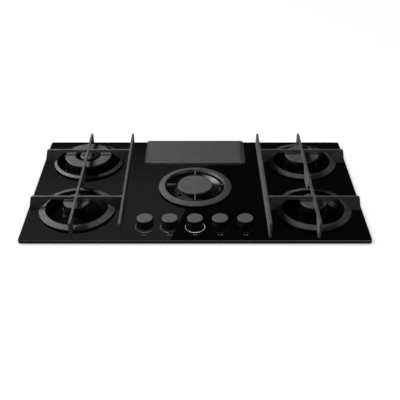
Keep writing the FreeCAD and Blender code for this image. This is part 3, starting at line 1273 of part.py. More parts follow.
def build():
    save("glass_top", glass_top())
    save("seal_strip", seal_strip())
    save("bottom_tray", tray())
    save("burner_rails", rails())
    save("burner_cups", Part.makeCompound([burner_cup(burner) for burner in BURNERS]))
    save("injectors", Part.makeCompound([injector(burner) for burner in BURNERS]))
    save("drip_bowls", Part.makeCompound([drip_bowl(burner) for burner in BURNERS]))
    save("spark_electrodes", Part.makeCompound([electrode(burner) for burner in BURNERS]))
    save("thermocouples", Part.makeCompound([thermocouple(burner) for burner in BURNERS]))
    for burner in BURNERS:
        save("ring_" + burner.name, burner_ring(burner))
        if burner is REAR_LEFT:
            save("flame_head_" + burner.name, crown_head(burner))
            save("cap_" + burner.name, crown_cap(burner))
            save("cap_" + burner.name + "_inner", inner_cap(burner))
        else:
            save("flame_head_" + burner.name, flame_head(burner))
            save("cap_" + burner.name, burner_cap(burner))
    save("centre_pan_support", fin_support(CENTRE))
    save("grate_right", grate())
    save("grate_left", mirrored(grate()))
    save("grate_feet_right", grate_pads())
    save("grate_feet_left", mirrored(grate_pads()))
    for index, x in enumerate(KNOB_XS):
        save("knob_%d" % (index + 1), knob(x))
        save("valve_stem_%d" % (index + 1), valve_stem(x))
        save("valve_plug_%d" % (index + 1), valve_plug(x))
    valve_pieces = []
    for x in KNOB_XS:
        valve_pieces += valve_body(x)
    save("gas_valves", Part.makeCompound(valve_pieces))
    save("stem_grommets", Part.makeCompound([grommet(x) for x in KNOB_XS]))
    save("ignition_switches", switch_chain())
    save("gas_manifold", manifold())
    save("gas_inlet", inlet_fitting())
    save("burner_pipes", burner_pipes())
    save("spark_module", spark_module())
    save("ignition_leads", ignition_leads())
    save("terminal_block", terminal_block())
    save("vent_cover", vent_cover())
    save("vent_frame", vent_frame())
    save("grease_filter", grease_filter())
    save("hold_down_clamps", clamps())
    save("valve_screws", Part.makeCompound(
        [screw(seat, direction, VALVE_SCREW_LENGTH) for seat, direction in valve_screw_seats()]))
    save("m4_screws", m4_screws())


build()
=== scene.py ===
"""Gas cooktop: surfaces, printed marks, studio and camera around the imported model. Metres, +Z up.

The frame is the one of the CAD: X runs to the cook's right, the front faces -Y, and the tray's underside is
at Z 0.
"""
import json
import math

import bpy
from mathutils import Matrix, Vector

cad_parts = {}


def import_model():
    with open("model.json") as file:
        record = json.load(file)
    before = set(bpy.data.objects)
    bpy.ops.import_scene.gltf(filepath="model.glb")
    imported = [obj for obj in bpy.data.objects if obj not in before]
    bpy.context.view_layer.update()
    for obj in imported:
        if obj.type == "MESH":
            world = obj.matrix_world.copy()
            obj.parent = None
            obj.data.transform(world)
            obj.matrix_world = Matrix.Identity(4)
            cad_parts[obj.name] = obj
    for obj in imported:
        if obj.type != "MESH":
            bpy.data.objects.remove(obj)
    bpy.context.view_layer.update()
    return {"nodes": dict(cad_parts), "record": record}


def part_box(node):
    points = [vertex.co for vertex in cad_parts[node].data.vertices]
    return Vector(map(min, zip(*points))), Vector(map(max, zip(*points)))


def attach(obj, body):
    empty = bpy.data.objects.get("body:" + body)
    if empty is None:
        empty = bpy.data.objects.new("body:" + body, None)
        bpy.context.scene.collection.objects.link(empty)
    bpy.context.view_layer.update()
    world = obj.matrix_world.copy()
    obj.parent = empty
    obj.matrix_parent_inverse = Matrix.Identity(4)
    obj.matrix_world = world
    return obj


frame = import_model()
NODES = frame["nodes"]

# ---------------------------------------------------------------- places taken from the model
GLASS_LOW, GLASS_HIGH = (Vector(corner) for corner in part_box("glass_top"))
GLASS_TOP = GLASS_HIGH.z
GLASS_FRONT = GLASS_LOW.y
SEAL_BOTTOM = Vector(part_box("seal_strip")[0]).z
INLET_REAR = Vector(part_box("gas_inlet")[1]).y
KNOBS = ["knob_%d" % number for number in range(1, 6)]
OUTER_RINGS = ["ring_front_left", "ring_front_right", "ring_rear_left", "ring_rear_right"]


def middle(node):
    low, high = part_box(node)
    return (Vector(low) + Vector(high)) / 2


# ---------------------------------------------------------------- procedural materials
WHITE = (1.0, 1.0, 1.0)
COOL = (0.98, 1.0, 1.03)
NOISE_LOW = 0.3     # nearly all of a noise texture lies between these two values
NOISE_HIGH = 0.7
WAVE_SCALE = 0.314  # scale of a wave texture whose bands are a metre apart


def grey(value, tint=WHITE):
    return tuple(value * channel for channel in tint)


def set_stops(ramp, stops):
    """Gives a colour ramp its stops, each a position and a colour."""
    elements = ramp.elements
    while len(elements) < len(stops):
        elements.new(0.5)
    for element, (position, colour) in zip(elements, stops):
        element.position = position
        element.color = colour + (1.0,)


class Surface:
    """A procedural material. Textures run in the object's own space, so sizes are in metres."""

    def __init__(self, name, metallic=0.0, specular=0.5):
        self.material = bpy.data.materials.new(name)
        self.material.use_nodes = True
        self.nodes = self.material.node_tree.nodes
        self.links = self.material.node_tree.links
        self.shader = self.nodes["Principled BSDF"]
        self.shader.inputs["Metallic"].default_value = metallic
        self.shader.inputs["Specular IOR Level"].default_value = specular
        self.place = self.nodes.new("ShaderNodeTexCoord").outputs["Object"]
        self.last_bump = None

    def link(self, source, target):
        self.links.new(source, target)

    def stretched(self, scale):
        mapping = self.nodes.new("ShaderNodeMapping")
        mapping.inputs["Scale"].default_value = scale
        self.link(self.place, mapping.inputs["Vector"])
        return mapping.outputs["Vector"]

    def noise(self, size, detail=3.0, roughness=0.5, stretch=None):
        node = self.nodes.new("ShaderNodeTexNoise")
        node.inputs["Scale"].default_value = 1.0 / size
        node.inputs["Detail"].default_value = detail
        node.inputs["Roughness"].default_value = roughness
        self.link(self.stretched(stretch) if stretch else self.place, node.inputs["Vector"])
        return node.outputs["Fac"]

    def cells(self, size, output="Distance"):
        node = self.nodes.new("ShaderNodeTexVoronoi")
        node.inputs["Scale"].default_value = 1.0 / size
        self.link(self.place, node.inputs["Vector"])
        return node.outputs[output]

    def bands(self, period, axis):
        node = self.nodes.new("ShaderNodeTexWave")
        node.bands_direction = axis
        node.inputs["Scale"].default_value = WAVE_SCALE / period
        self.link(self.place, node.inputs["Vector"])
        return node.outputs["Fac"]

    def spread(self, factor, low, high, start, end):
        """Runs from low to high as factor goes from start to end."""
        node = self.nodes.new("ShaderNodeMapRange")
        node.inputs["From Min"].default_value = start
        node.inputs["From Max"].default_value = end
        node.inputs["To Min"].default_value = low
        node.inputs["To Max"].default_value = high
        self.link(factor, node.inputs["Value"])
        return node.outputs["Result"]

    def colour(self, factor, dark, light, start=NOISE_LOW, end=NOISE_HIGH):
        """Base colour that runs from dark to light as factor goes from start to end."""
        node = self.nodes.new("ShaderNodeValToRGB")
        set_stops(node.color_ramp, [(start, dark), (end, light)])
        self.link(factor, node.inputs["Fac"])
        self.link(node.outputs["Color"], self.shader.inputs["Base Color"])

    def rough(self, factor, low, high, start=NOISE_LOW, end=NOISE_HIGH):
        self.link(self.spread(factor, low, high, start, end), self.shader.inputs["Roughness"])

    def bump(self, height, depth, strength=1.0):
        """Adds relief on top of any that the surface already has."""
        node = self.nodes.new("ShaderNodeBump")
        node.inputs["Distance"].default_value = depth
        node.inputs["Strength"].default_value = strength
        self.link(height, node.inputs["Height"])
        if self.last_bump:
            self.link(self.last_bump, node.inputs["Normal"])
        self.last_bump = node.outputs["Normal"]
        self.link(self.last_bump, self.shader.inputs["Normal"])


def enamel(name, dark, light, roughness, grain, depth, mottle=0.018, specular=0.5):
    """Matt or glossy enamel on cast iron or steel: fine grain, orange peel and a slow change of shade."""
    surface = Surface(name, specular=specular)
    slow_change = surface.noise(mottle, detail=4.0, roughness=0.6)
    sheen = surface.noise(mottle * 0.7)
    orange_peel = surface.noise(grain * 6, detail=2.0)
    fine_grain = surface.noise(grain, roughness=0.65)
    surface.colour(slow_change, grey(dark, COOL), grey(light, COOL), start=0.32, end=0.68)
    surface.rough(sheen, low=roughness - 0.05, high=roughness + 0.06)
    surface.bump(orange_peel, depth * 2.2, strength=0.7)
    surface.bump(fine_grain, depth, strength=0.9)
    return surface.material


def metal(name, dark, light, tint, roughness, grain, depth, stretch=None):
    """Bare metal with cast, rolled or turned texture."""
    surface = Surface(name, metallic=1.0)
    tone = surface.noise(grain * 12, detail=4.0)
    sheen = surface.noise(grain * 5, stretch=stretch)
    surface.colour(tone, grey(dark, tint), grey(light, tint))
    surface.rough(sheen, low=roughness - 0.07, high=roughness + 0.08)
    surface.bump(surface.noise(grain, stretch=stretch), depth)
    return surface.material


def plastic(name, dark, light, roughness, grain, depth, tint=WHITE, specular=0.5):
    """Moulded plastic, rubber or ceramic with a fine surface."""
    surface = Surface(name, specular=specular)
    tone = surface.noise(grain * 30)
    sheen = surface.noise(grain * 12)
    surface.colour(tone, grey(dark, tint), grey(light, tint))
    surface.rough(sheen, low=roughness - 0.05, high=roughness + 0.05)
    surface.bump(surface.cells(grain), depth, strength=0.6)
    return surface.material


def polished_glass():
    surface = Surface("black_glass")
    surface.colour(surface.noise(size=0.05), dark=(0.0022, 0.0022, 0.0024), light=(0.003, 0.003, 0.0032))
    surface.rough(surface.noise(size=0.09, detail=5.0), low=0.018, high=0.05)
    surface.bump(surface.noise(size=0.35, detail=0.0), depth=0.00002, strength=0.5)
    return surface.material


def galvanised():
    """Zinc-coated sheet with its spangle."""
    surface = Surface("zinc_steel", metallic=1.0)
    spangle = surface.cells(size=0.009, output="Color")
    surface.colour(spangle, dark=grey(0.34, COOL), light=grey(0.56, COOL), start=0.1, end=0.9)
    surface.rough(spangle, low=0.32, high=0.5, start=0.0, end=1.0)
    surface.bump(surface.noise(size=0.002), depth=0.00003)
    return surface.material


def threaded_brass():
    """Brass whose thread runs round the inlet's male end."""
    surface = Surface("brass_thread", metallic=1.0)
    surface.colour(surface.noise(size=0.006), dark=(0.48, 0.34, 0.13), light=(0.6, 0.44, 0.19))
    surface.rough(surface.noise(size=0.003), low=0.24, high=0.4)
    surface.bump(surface.bands(period=0.0018, axis="Y"), depth=0.0011)
    return surface.material


def foam():
    surface = Surface("seal_foam", specular=0.2)
    pores = surface.cells(size=0.0012)
    surface.colour(pores, dark=grey(0.012), light=grey(0.035), start=0.1, end=0.6)
    surface.rough(surface.noise(size=0.002), low=0.8, high=0.95)
    surface.bump(pores, depth=0.0003)
    return surface.material


def ink(name, level):
    """Ceramic print fired into the glass; level is how light it is."""
    surface = Surface(name)
    surface.colour(surface.noise(size=0.0012), dark=grey(level * 0.9), light=grey(level))
    surface.rough(surface.noise(size=0.002), low=0.25, high=0.4)
    surface.bump(surface.noise(size=0.0004), depth=0.000004)
    return surface.material


MATERIALS = {
    "glass": polished_glass(),
    # The glass's ground bevel and ground side are one finish. The upward bevel is drawn light grey, partly
    # ground-glass grey and partly painted light. The upright side is drawn nearly black, painted shade.
    "glass_bevel_painted_light": enamel("ground_glass_bevel_painted_light", dark=0.52, light=0.6, roughness=0.34, grain=0.0006,
                         depth=0.00001),
    "glass_side_painted_shade": enamel("ground_glass_side_painted_shade", dark=0.008, light=0.012, roughness=0.3, grain=0.0006,
                         depth=0.00001),
    "cast": enamel("cast_iron_enamel", dark=0.072, light=0.11, roughness=0.56, grain=0.0011,
                   depth=0.00007, specular=0.25),
    "cover": enamel("cover_enamel", dark=0.07, light=0.082, roughness=0.55, grain=0.0014,
                    depth=0.00005, mottle=0.03, specular=0.25),
    "ring": enamel("ring_enamel", dark=0.068, light=0.09, roughness=0.56, grain=0.0008,
                   depth=0.00003, specular=0.25),
    # Two copies of the bowl enamel. The centre bowl's is lighter and much glossier, painted light. The
    # near-black one of the other bowls is partly their black enamel and partly painted shade.
    "bowl_painted_light": enamel("bowl_enamel_painted_light", dark=0.021, light=0.028, roughness=0.5, grain=0.0011,
                       depth=0.000006, specular=0.9),
    "bowl": enamel("bowl_enamel", dark=0.002, light=0.003, roughness=0.34, grain=0.0011,
                   depth=0.000006, specular=0.04),
    "cap": enamel("cap_enamel", dark=0.077, light=0.1, roughness=0.58, grain=0.0007,
                  depth=0.00003, specular=0.25),
    # The flame heads' alloy is drawn nearly black: painted shade.
    "head": metal("burner_alloy_painted_shade", dark=0.03, light=0.05, tint=WHITE, roughness=0.55,
                  grain=0.0008, depth=0.00004),
    "alloy": metal("cast_alloy", dark=0.3, light=0.42, tint=(1.0, 1.0, 1.01), roughness=0.5,
                   grain=0.001, depth=0.00006),
    "knob": plastic("knob_plastic", dark=0.094, light=0.112, roughness=0.5, grain=0.0004,
                    depth=0.000015, specular=0.25),
    # The same knob plastic, drawn near-black on the sides under the grey tops: painted shade.
    "knob_side": plastic("knob_side_plastic", dark=0.005, light=0.007, roughness=0.5, grain=0.0004,
                         depth=0.00001, specular=0.12),
    "zinc": galvanised(),
    "steel": metal("plain_steel", dark=0.36, light=0.5, tint=(1.0, 0.99, 0.97), roughness=0.34,
                   grain=0.0008, depth=0.00002, stretch=(1.0, 1.0, 0.1)),
    "pipe": metal("pipe_aluminium", dark=0.55, light=0.68, tint=(1.0, 1.0, 1.01), roughness=0.3,
                  grain=0.0012, depth=0.00002),
    "brass": metal("brass", dark=0.5, light=0.62, tint=(1.0, 0.74, 0.34), roughness=0.28,
                   grain=0.0007, depth=0.00002),
    "thread": threaded_brass(),
    "rubber": plastic("rubber", dark=0.012, light=0.022, roughness=0.75, grain=0.0005, depth=0.00002),
    "foam": foam(),
    "ceramic": plastic("ceramic", dark=0.075, light=0.1, roughness=0.3, grain=0.002,
                       depth=0.000005, tint=(1.0, 0.98, 0.94)),
    "pin": metal("pin_steel", dark=0.09, light=0.14, tint=WHITE, roughness=0.55, grain=0.0008,
                 depth=0.00002),
    # Blackened steel for the screws. On every electrode but the front-left one it is painted shade.
    "black_steel_and_painted_shade": metal("blackened_steel_and_painted_shade", dark=0.03, light=0.05, tint=(1.0, 1.0, 1.02),
                         roughness=0.5, grain=0.0008, depth=0.00002),
    "black": plastic("black_plastic", dark=0.02, light=0.03, roughness=0.5, grain=0.0006, depth=0.00002),
    "lead": plastic("lead_silicone", dark=0.5, light=0.62, roughness=0.55, grain=0.0009,
                    depth=0.00001, tint=(1.0, 0.98, 0.92)),
    "filter": metal("filter_mesh", dark=0.42, light=0.6, tint=WHITE, roughness=0.38, grain=0.0016,
                    depth=0.0002),
}


# ---------------------------------------------------------------- which surface goes where
SURFACE_OF_SLOT = {
    "black_glass": "glass", "cast_iron_enamel": "cast", "ring_enamel": "ring", "bowl_enamel": "bowl",
    "cap_enamel": "cap", "burner_alloy": "alloy", "knob_plastic": "knob", "zinc_steel": "zinc",
    "steel_tube": "steel", "pipe_aluminium": "pipe", "brass": "brass", "rubber": "rubber",
    "ceramic": "ceramic", "black_plastic": "black", "lead_jacket": "lead", "screw_steel": "steel",
    "filter_mesh": "filter",
}
SURFACE_OF_NODE = {
    "vent_cover": "cover", "seal_strip": "foam", "m4_screws": "black_steel_and_painted_shade", "thermocouples": "pin",
}
# A rise is the upright part of a face's normal: 1 straight up, 0 level.
BEVEL_RISE_LEAST = 0.2
BEVEL_RISE_MOST = 0.95
UPRIGHT_RISE_MOST = 0.1
RING_WALL_RISE_MOST = 0.6
KNOB_TOP_RISE_LEAST = 0.5
# Heights above the glass.
KNOB_TOP_FROM = 0.026
SUPPORT_RING_TOP = 0.0042
PIN_FROM = 0.0105
# Other measures of the faces that get a surface of their own.
PIN_FACE_AREA = 4e-6
RIM_REACH = 0.008
BOWL_FLOOR_DEPTH = 0.0122
CENTRE_BOWL_REACH = 0.11
LEFT_BURNERS_END = -0.1
THREAD_LENGTH = 0.0142
THREAD_TILT_MOST = 0.2


def dress(node, surface, *patches):
    """Gives a node its surface; each patch is another surface and a test that picks its faces."""
    mesh = NODES[node].data
    mesh.materials.clear()
    mesh.materials.append(MATERIALS[surface])
    for face in mesh.polygons:
        face.material_index = 0
    for index, (patch, picks) in enumerate(patches, 1):
        mesh.materials.append(MATERIALS[patch])
        for face in mesh.polygons:
            if picks(face):
                face.material_index = index


def surface_of(subpart):
    """A sub-part's surface by its node's name, or else by its slot."""
    # Flame heads take the painted-shade alloy.
    if subpart["node"].startswith("flame_head"):
        return "head"
    return SURFACE_OF_NODE.get(subpart["node"], SURFACE_OF_SLOT[subpart["material_slot"]])


def is_bevel(face):
    return BEVEL_RISE_LEAST < face.normal.z < BEVEL_RISE_MOST


def is_ground_side(face):
    """An upright face round the outside of the glass, not one in its holes."""
    near_side = abs(face.center.x) > GLASS_HIGH.x - RIM_REACH
    near_end = abs(face.center.y) > GLASS_HIGH.y - RIM_REACH
    return abs(face.normal.z) < UPRIGHT_RISE_MOST and (near_side or near_end)


def is_support_ring(face):
    return face.center.z < GLASS_TOP + SUPPORT_RING_TOP


def is_knob_top(face):
    return face.normal.z > KNOB_TOP_RISE_LEAST and face.center.z > GLASS_TOP + KNOB_TOP_FROM


def inner_wall_of(ring):
    """Test for the faces of a ring that look towards its middle."""
    centre = middle(ring)
    return lambda face: (abs(face.normal.z) < RING_WALL_RISE_MOST
                         and (face.center - centre).dot(face.normal) < 0.0)


def is_in_centre_bowl(face):
    return abs(face.center.x) < CENTRE_BOWL_REACH


def is_above_bowl_floor(face):
    return face.center.z > GLASS_TOP - BOWL_FLOOR_DEPTH


def is_pin(face):
    """A face of an electrode's bare pin: thin and well above the ceramic."""
    return face.area < PIN_FACE_AREA and face.center.z > GLASS_TOP + PIN_FROM


def is_not_front_left(face):
    return face.center.x > LEFT_BURNERS_END or face.center.y > 0.0


def is_thread(face):
    return face.center.y > INLET_REAR - THREAD_LENGTH and abs(face.normal.y) < THREAD_TILT_MOST


for subpart in frame["record"]["subparts"]:
    dress(subpart["node"], surface_of(subpart))
# The glass's bevel takes the painted-light grey and its outer sides the painted-shade black.
dress("glass_top", "glass", ("glass_bevel_painted_light", is_bevel), ("glass_side_painted_shade", is_ground_side))
# The support's low ring takes the near-black bowl enamel: painted shade.
dress("centre_pan_support", "cast", ("bowl", is_support_ring))
# Knob sides take the painted-shade copy of the knob plastic.
for knob in KNOBS:
    dress(knob, "knob_side", ("knob", is_knob_top))
# The outer rings' inner walls take the near-black bowl enamel: painted shade.
for ring in OUTER_RINGS:
    dress(ring, "ring", ("bowl", inner_wall_of(ring)))
# The centre bowl gets the painted-light enamel, and the four others the near-black one, partly painted shade.
dress("drip_bowls", "bowl", ("bowl_painted_light", is_in_centre_bowl))
# The cups' faces above the bowl floor take the near-black bowl enamel: painted shade.
dress("burner_cups", "alloy", ("bowl", is_above_bowl_floor))
# Every electrode but the front-left one is drawn in blackened steel: painted shade.
dress("spark_electrodes", "ceramic", ("pin", is_pin), ("black_steel_and_painted_shade", is_not_front_left))
dress("gas_inlet", "brass", ("thread", is_thread))


# ---------------------------------------------------------------- rounded edges
ROUNDED = [  # how a node's name starts, radius of its edges, segments round them
    ("grate_left", 0.0011, 3),
    ("grate_right", 0.0011, 3),
    ("cap_", 0.0004, 2),
    ("knob_", 0.0005, 2),
    ("vent_cover", 0.0008, 2),
    ("centre_pan_support", 0.0006, 2),
]
WELD_REACH = 0.000002
SHARP_FROM = math.radians(32.0)


def soften(node, radius, segments):
    """Rounds a node's sharp edges, as casting and moulding leave them."""
    thing = NODES[node]
    if "custom_normal" in thing.data.attributes:
        thing.data.attributes.remove(thing.data.attributes["custom_normal"])
    thing.data.shade_smooth()
    weld = thing.modifiers.new("weld", "WELD")
    weld.merge_threshold = WELD_REACH
    bevel = thing.modifiers.new("bevel", "BEVEL")
    bevel.width = radius
    bevel.segments = segments
    bevel.limit_method = "ANGLE"
    bevel.angle_limit = SHARP_FROM
    normals = thing.modifiers.new("normals", "WEIGHTED_NORMAL")
    normals.keep_sharp = True


for node in NODES:
    for start, radius, segments in ROUNDED:
        if node.startswith(start):
            soften(node, radius, segments)


# ---------------------------------------------------------------- reflections
# Knobs, stems, grates and vent cover don't show in the glass, which mirrors the studio in their place.
NOT_MIRRORED = ("knob_", "valve_stem_", "grate_", "vent_cover")
for node in NODES:
    if node.startswith(NOT_MIRRORED):
        NODES[node].visible_glossy = False


def mesh_object(name, vertices, faces, material):
    mesh = bpy.data.meshes.new(name)
    mesh.from_pydata(vertices, [], faces)
    mesh.materials.append(material)
    thing = bpy.data.objects.new(name, mesh)
    bpy.context.scene.collection.objects.link(thing)
    return thing


# ---------------------------------------------------------------- printed marks on the glass
PRINT_LIFT = 0.00004
ARC_RADIUS = 0.0255
ARC_STEPS = 48
ICON_FROM_FRONT = 0.026
ICON_WIDTH = 0.0042
ICON_DEPTH = 0.0018
DOT_RADIUS = 0.0008
OWN_DOT_RADIUS = 0.0013
DOT_SIDES = 14
# Each knob has the same printed scale, drawn at three levels. It is brightest at the middle knob as painted
# light, grey at the two left knobs, and nearly invisible at the two right ones as painted shade.
PRINT_INK_PAINTED_LIGHT = ink("print_painted_light", level=0.85)
GREY_INK = ink("print_grey", level=0.4)
PRINT_INK_PAINTED_SHADE = ink("print_painted_shade", level=0.03)
ICON_INK = ink("print_icon", level=0.22)
ARCS = [  # for each knob: ink, first and last angle in degrees, width at each
    (GREY_INK, 155, 312, 0.0008, 0.001),
    (GREY_INK, 158, 262, 0.0009, 0.0008),
    (PRINT_INK_PAINTED_LIGHT, 158, 392, 0.0012, 0.0018),
    (PRINT_INK_PAINTED_SHADE, 200, 340, 0.0006, 0.001),
    (PRINT_INK_PAINTED_SHADE, 200, 340, 0.0006, 0.001),
]
# Bright dots on the second knob's scale are painted highlights.
PAINTED_GLINT_DOTS = [(2, 182), (2, 254)]  # a knob's number and an angle in degrees
BURNER_PLACES = [(-1.0, -1.0), (-1.0, 1.0), (0.0, 0.0), (1.0, 1.0), (1.0, -1.0)]
PRINTS = []


def flat_piece(name, outline, material):
    """A print just above the glass; its outline is vertices in X and Y, and faces."""
    vertices, faces = outline
    thing = mesh_object(name, [(x, y, GLASS_TOP + PRINT_LIFT) for x, y in vertices], faces, material)
    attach(thing, "hob")
    PRINTS.append(thing)


def on_circle(x, y, radius, angle):
    return x + radius * math.cos(angle), y + radius * math.sin(angle)


def arc_outline(centre, first, last, width_first, width_last):
    """Crescent between two angles in degrees; its width changes evenly."""
    vertices = []
    faces = []
    for step in range(ARC_STEPS + 1):
        share = step / ARC_STEPS
        angle = math.radians(first + (last - first) * share)
        half = (width_first + (width_last - width_first) * share) / 2
        vertices.append(on_circle(centre.x, centre.y, ARC_RADIUS - half, angle))
        vertices.append(on_circle(centre.x, centre.y, ARC_RADIUS + half, angle))
        if step:
            corner = 2 * step
            faces.append((corner - 2, corner - 1, corner + 1, corner))
    return vertices, faces


def dots_outline(dots):
    """Round dots, each the X and Y of its centre and its radius."""
    vertices = []
    faces = []
    for x, y, radius in dots:
        faces.append(tuple(range(len(vertices), len(vertices) + DOT_SIDES)))
        vertices += [on_circle(x, y, radius, 2 * math.pi * side / DOT_SIDES) for side in range(DOT_SIDES)]
    return vertices, faces


def icon_outline(centre, own_place):
    """The five burners as dots, with the knob's own one larger."""
    dots = []
    for place, (side, back) in enumerate(BURNER_PLACES):
        x = centre.x + side * ICON_WIDTH
        y = GLASS_FRONT + ICON_FROM_FRONT + back * ICON_DEPTH
        dots.append((x, y, OWN_DOT_RADIUS if place == own_place else DOT_RADIUS))
    return dots_outline(dots)


for place, knob in enumerate(KNOBS):
    arc_ink, *arc = ARCS[place]
    flat_piece("print_arc_%d" % (place + 1), arc_outline(middle(knob), *arc), arc_ink)
    flat_piece("print_icon_%d" % (place + 1), icon_outline(middle(knob), place), ICON_INK)
# Painted highlights on the second knob's scale.
for number, degrees in PAINTED_GLINT_DOTS:
    centre = middle("knob_%d" % number)
    x, y = on_circle(centre.x, centre.y, ARC_RADIUS, math.radians(degrees))
    flat_piece("print_painted_glint_%d_%d" % (number, degrees), dots_outline([(x, y, DOT_RADIUS)]), PRINT_INK_PAINTED_LIGHT)


# ---------------------------------------------------------------- studio
FLOOR_REACH = 6.0
FLOOR_DROP = 0.0001
CUT_OUT_X = 0.4275
CUT_OUT_Y = 0.2375
FLOOR_GREY = 0.1
FLOOR_GLOW = 0.955
PAINTED_SHADE_REACH = 0.014
PAINTED_SHADE_SAMPLES = 8
WORLD_FILL = 0.02
CANOPY_RADIUS = 5.5
CANOPY_LOW = 2.0  # degrees above the horizon
CANOPY_RINGS = 8
CANOPY_SIDES = 32
CANOPY_LEVEL = 0.026
CARD_LEVELS = [(0.0, 0.05), (0.35, 0.19), (0.7, 0.22), (1.0, 0.225)]  # share of its height, how light
CARD_Y = 2.5
CARD_LEFT = -2.2
CARD_EDGE_LOW = (0.157, 1.3)  # X and Z of the slanting edge's ends
CARD_EDGE_HIGH = (-0.264, 2.3)


def camera_share(nodes, links, others):
    """1 for what the camera sees, directly or by the other kinds of ray, and 0 for other light."""
    path = nodes.new("ShaderNodeLightPath")
    total = path.outputs["Is Camera Ray"]
    for output in others:
        larger = nodes.new("ShaderNodeMath")
        larger.operation = "MAXIMUM"
        links.new(total, larger.inputs[0])
        links.new(path.outputs[output], larger.inputs[1])
        total = larger.outputs[0]
    return total


def worktop_material():
    """Dull grey under light; to the camera it also glows nearly white, with painted shade beside what it
    touches.
    """
    material = bpy.data.materials.new("pale_worktop")
    material.use_nodes = True
    nodes = material.node_tree.nodes
    links = material.node_tree.links
    nodes.remove(nodes["Principled BSDF"])
    diffuse = nodes.new("ShaderNodeBsdfDiffuse")
    diffuse.inputs["Color"].default_value = grey(FLOOR_GREY) + (1.0,)
    glow = nodes.new("ShaderNodeEmission")
    strength = nodes.new("ShaderNodeMath")
    strength.operation = "MULTIPLY"
    strength.inputs[1].default_value = FLOOR_GLOW
    links.new(camera_share(nodes, links, ["Is Transmission Ray"]), strength.inputs[0])
    links.new(strength.outputs[0], glow.inputs["Strength"])
    # Ambient occlusion darkens the glow beside the hob: a painted contact shadow.
    painted_contact_shade = nodes.new("ShaderNodeAmbientOcclusion")
    painted_contact_shade.inputs["Distance"].default_value = PAINTED_SHADE_REACH
    painted_contact_shade.samples = PAINTED_SHADE_SAMPLES
    links.new(painted_contact_shade.outputs["Color"], glow.inputs["Color"])
    both = nodes.new("ShaderNodeAddShader")
    links.new(diffuse.outputs[0], both.inputs[0])
    links.new(glow.outputs[0], both.inputs[1])
    links.new(both.outputs[0], nodes["Material Output"].inputs["Surface"])
    return material


def floor():
    """Pale worktop with a cut-out for the tray; the hob's seal lies on it."""
    height = SEAL_BOTTOM - FLOOR_DROP
    vertices = []
    for reach_x, reach_y in ((FLOOR_REACH, FLOOR_REACH), (CUT_OUT_X, CUT_OUT_Y)):
        for side, end in ((-1, -1), (1, -1), (1, 1), (-1, 1)):
            vertices.append((side * reach_x, end * reach_y, height))
    faces = [(corner, (corner + 1) % 4, 4 + (corner + 1) % 4, 4 + corner) for corner in range(4)]
    mesh_object("worktop", vertices, faces, worktop_material())


def glowing(name, level):
    material = bpy.data.materials.new(name)
    material.use_nodes = True
    nodes = material.node_tree.nodes
    nodes.remove(nodes["Principled BSDF"])
    glow = nodes.new("ShaderNodeEmission")
    glow.inputs["Color"].default_value = WHITE + (1.0,)
    glow.inputs["Strength"].default_value = level
    material.node_tree.links.new(glow.outputs[0], nodes["Material Output"].inputs["Surface"])
    return material


def mirror_only(name, vertices, faces, material):
    """A studio card that shows only as a reflection."""
    thing = mesh_object(name, vertices, faces, material)
    thing.visible_camera = False
    thing.visible_diffuse = False
    thing.visible_shadow = False
    thing.visible_transmission = False


def canopy():
    """Dark hood over the studio that keeps the black glass black from every side."""
    vertices = []
    faces = []
    for ring in range(CANOPY_RINGS):
        tilt = math.radians(CANOPY_LOW + (90.0 - CANOPY_LOW) * ring / CANOPY_RINGS)
        for side in range(CANOPY_SIDES):
            turn = 2 * math.pi * side / CANOPY_SIDES
            vertices.append((CANOPY_RADIUS * math.cos(tilt) * math.cos(turn),
                             CANOPY_RADIUS * math.cos(tilt) * math.sin(turn), CANOPY_RADIUS * math.sin(tilt)))
    top = len(vertices)
    vertices.append((0.0, 0.0, CANOPY_RADIUS))
    for ring in range(CANOPY_RINGS):
        for side in range(CANOPY_SIDES):
            here = ring * CANOPY_SIDES + side
            beside = ring * CANOPY_SIDES + (side + 1) % CANOPY_SIDES
            if ring + 1 < CANOPY_RINGS:
                faces.append((here, beside, beside + CANOPY_SIDES, here + CANOPY_SIDES))
            else:
                faces.append((here, beside, top))
    mirror_only("dark_canopy", vertices, faces, glowing("canopy_shade", CANOPY_LEVEL))


def card():
    """Grey card behind the hob, whose slanting edge shows across the glass; it is lighter towards its top."""
    low_x, low_z = CARD_EDGE_LOW
    high_x, high_z = CARD_EDGE_HIGH
    vertices = [(CARD_LEFT, CARD_Y, low_z), (low_x, CARD_Y, low_z), (high_x, CARD_Y, high_z),
                (CARD_LEFT, CARD_Y, high_z)]
    material = glowing("card_grey", level=1.0)
    nodes = material.node_tree.nodes
    links = material.node_tree.links
    split = nodes.new("ShaderNodeSeparateXYZ")
    links.new(nodes.new("ShaderNodeTexCoord").outputs["Object"], split.inputs[0])
    height = nodes.new("ShaderNodeMapRange")
    height.inputs["From Min"].default_value = low_z
    height.inputs["From Max"].default_value = high_z
    links.new(split.outputs["Z"], height.inputs["Value"])
    shade = nodes.new("ShaderNodeValToRGB")
    set_stops(shade.color_ramp, [(position, grey(level)) for position, level in CARD_LEVELS])
    links.new(height.outputs["Result"], shade.inputs["Fac"])
    links.new(shade.outputs["Color"], nodes["Emission"].inputs["Color"])
    mirror_only("grey_card", vertices, [(0, 1, 2, 3)], material)


def world():
    """White to the camera and in reflections, and a faint fill for the rest."""
    shade = bpy.data.worlds.new("studio")
    shade.use_nodes = True
    nodes = shade.node_tree.nodes
    links = shade.node_tree.links
    strength = nodes.new("ShaderNodeMapRange")
    strength.inputs["To Min"].default_value = WORLD_FILL
    strength.inputs["To Max"].default_value = 1.0
    links.new(camera_share(nodes, links, ["Is Glossy Ray", "Is Transmission Ray"]), strength.inputs["Value"])
    nodes["Background"].inputs["Color"].default_value = WHITE + (1.0,)
    links.new(strength.outputs["Result"], nodes["Background"].inputs["Strength"])
    bpy.context.scene.world = shade


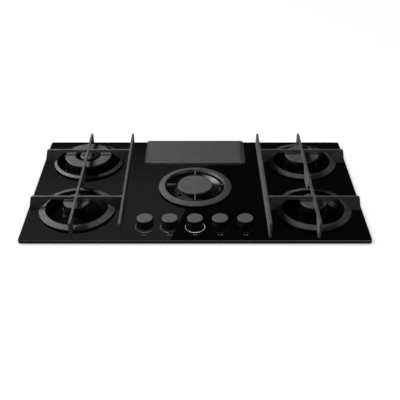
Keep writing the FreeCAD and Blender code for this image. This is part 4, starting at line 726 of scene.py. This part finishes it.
def area_light(name, place, target, size, power, only_on=(), not_on=()):
    """Lamp aimed at a place; it lights nothing but the pieces of only_on, or all but those of not_on."""
    lamp = bpy.data.lights.new(name, "AREA")
    lamp.shape = "RECTANGLE"
    lamp.size, lamp.size_y = size
    lamp.energy = power
    thing = bpy.data.objects.new(name, lamp)
    thing.location = place
    thing.rotation_euler = (Vector(target) - Vector(place)).to_track_quat("-Z", "Y").to_euler()
    bpy.context.scene.collection.objects.link(thing)
    if only_on or not_on:
        chosen = bpy.data.collections.new(name + "_pieces")
        for piece in only_on or not_on:
            chosen.objects.link(piece)
        for entry in chosen.collection_objects:
            entry.light_linking.link_state = "INCLUDE" if only_on else "EXCLUDE"
        thing.light_linking.receiver_collection = chosen
    if only_on:
        thing.visible_glossy = False


floor()
canopy()
card()
world()
area_light("key_left", place=(-2.1, 0.2, 1.5), target=(0.0, 0.0, 0.08), size=(1.1, 0.9), power=109.0,
           not_on=[NODES["glass_top"]])
area_light("fill_right", place=(2.1, -2.1, 0.8), target=(0.3, 0.0, 0.08), size=(0.8, 0.6), power=12.0)
area_light("print_fill", place=(0.0, -0.2, 2.4), target=(0.0, -0.2, 0.08), size=(0.5, 0.5), power=24.0,
           only_on=PRINTS)


# ---------------------------------------------------------------- camera
PITCH = math.radians(33.25)
FOCAL_PIXELS = 708.5
PICTURE_PIXELS = 400.0
SENSOR_WIDTH = 36.0  # millimetres
CAMERA_PLACE = (0.0, -1.7034, 1.1378)
CAMERA_SHIFT_X = 0.0123


def camera():
    data = bpy.data.cameras.new("camera")
    data.sensor_width = SENSOR_WIDTH
    data.lens = FOCAL_PIXELS / PICTURE_PIXELS * SENSOR_WIDTH
    data.shift_x = CAMERA_SHIFT_X
    thing = bpy.data.objects.new("camera", data)
    thing.location = CAMERA_PLACE
    thing.rotation_euler = (math.pi / 2 - PITCH, 0.0, 0.0)
    bpy.context.scene.collection.objects.link(thing)
    bpy.context.scene.camera = thing


camera()
bpy.context.scene.view_settings.view_transform = "Standard"
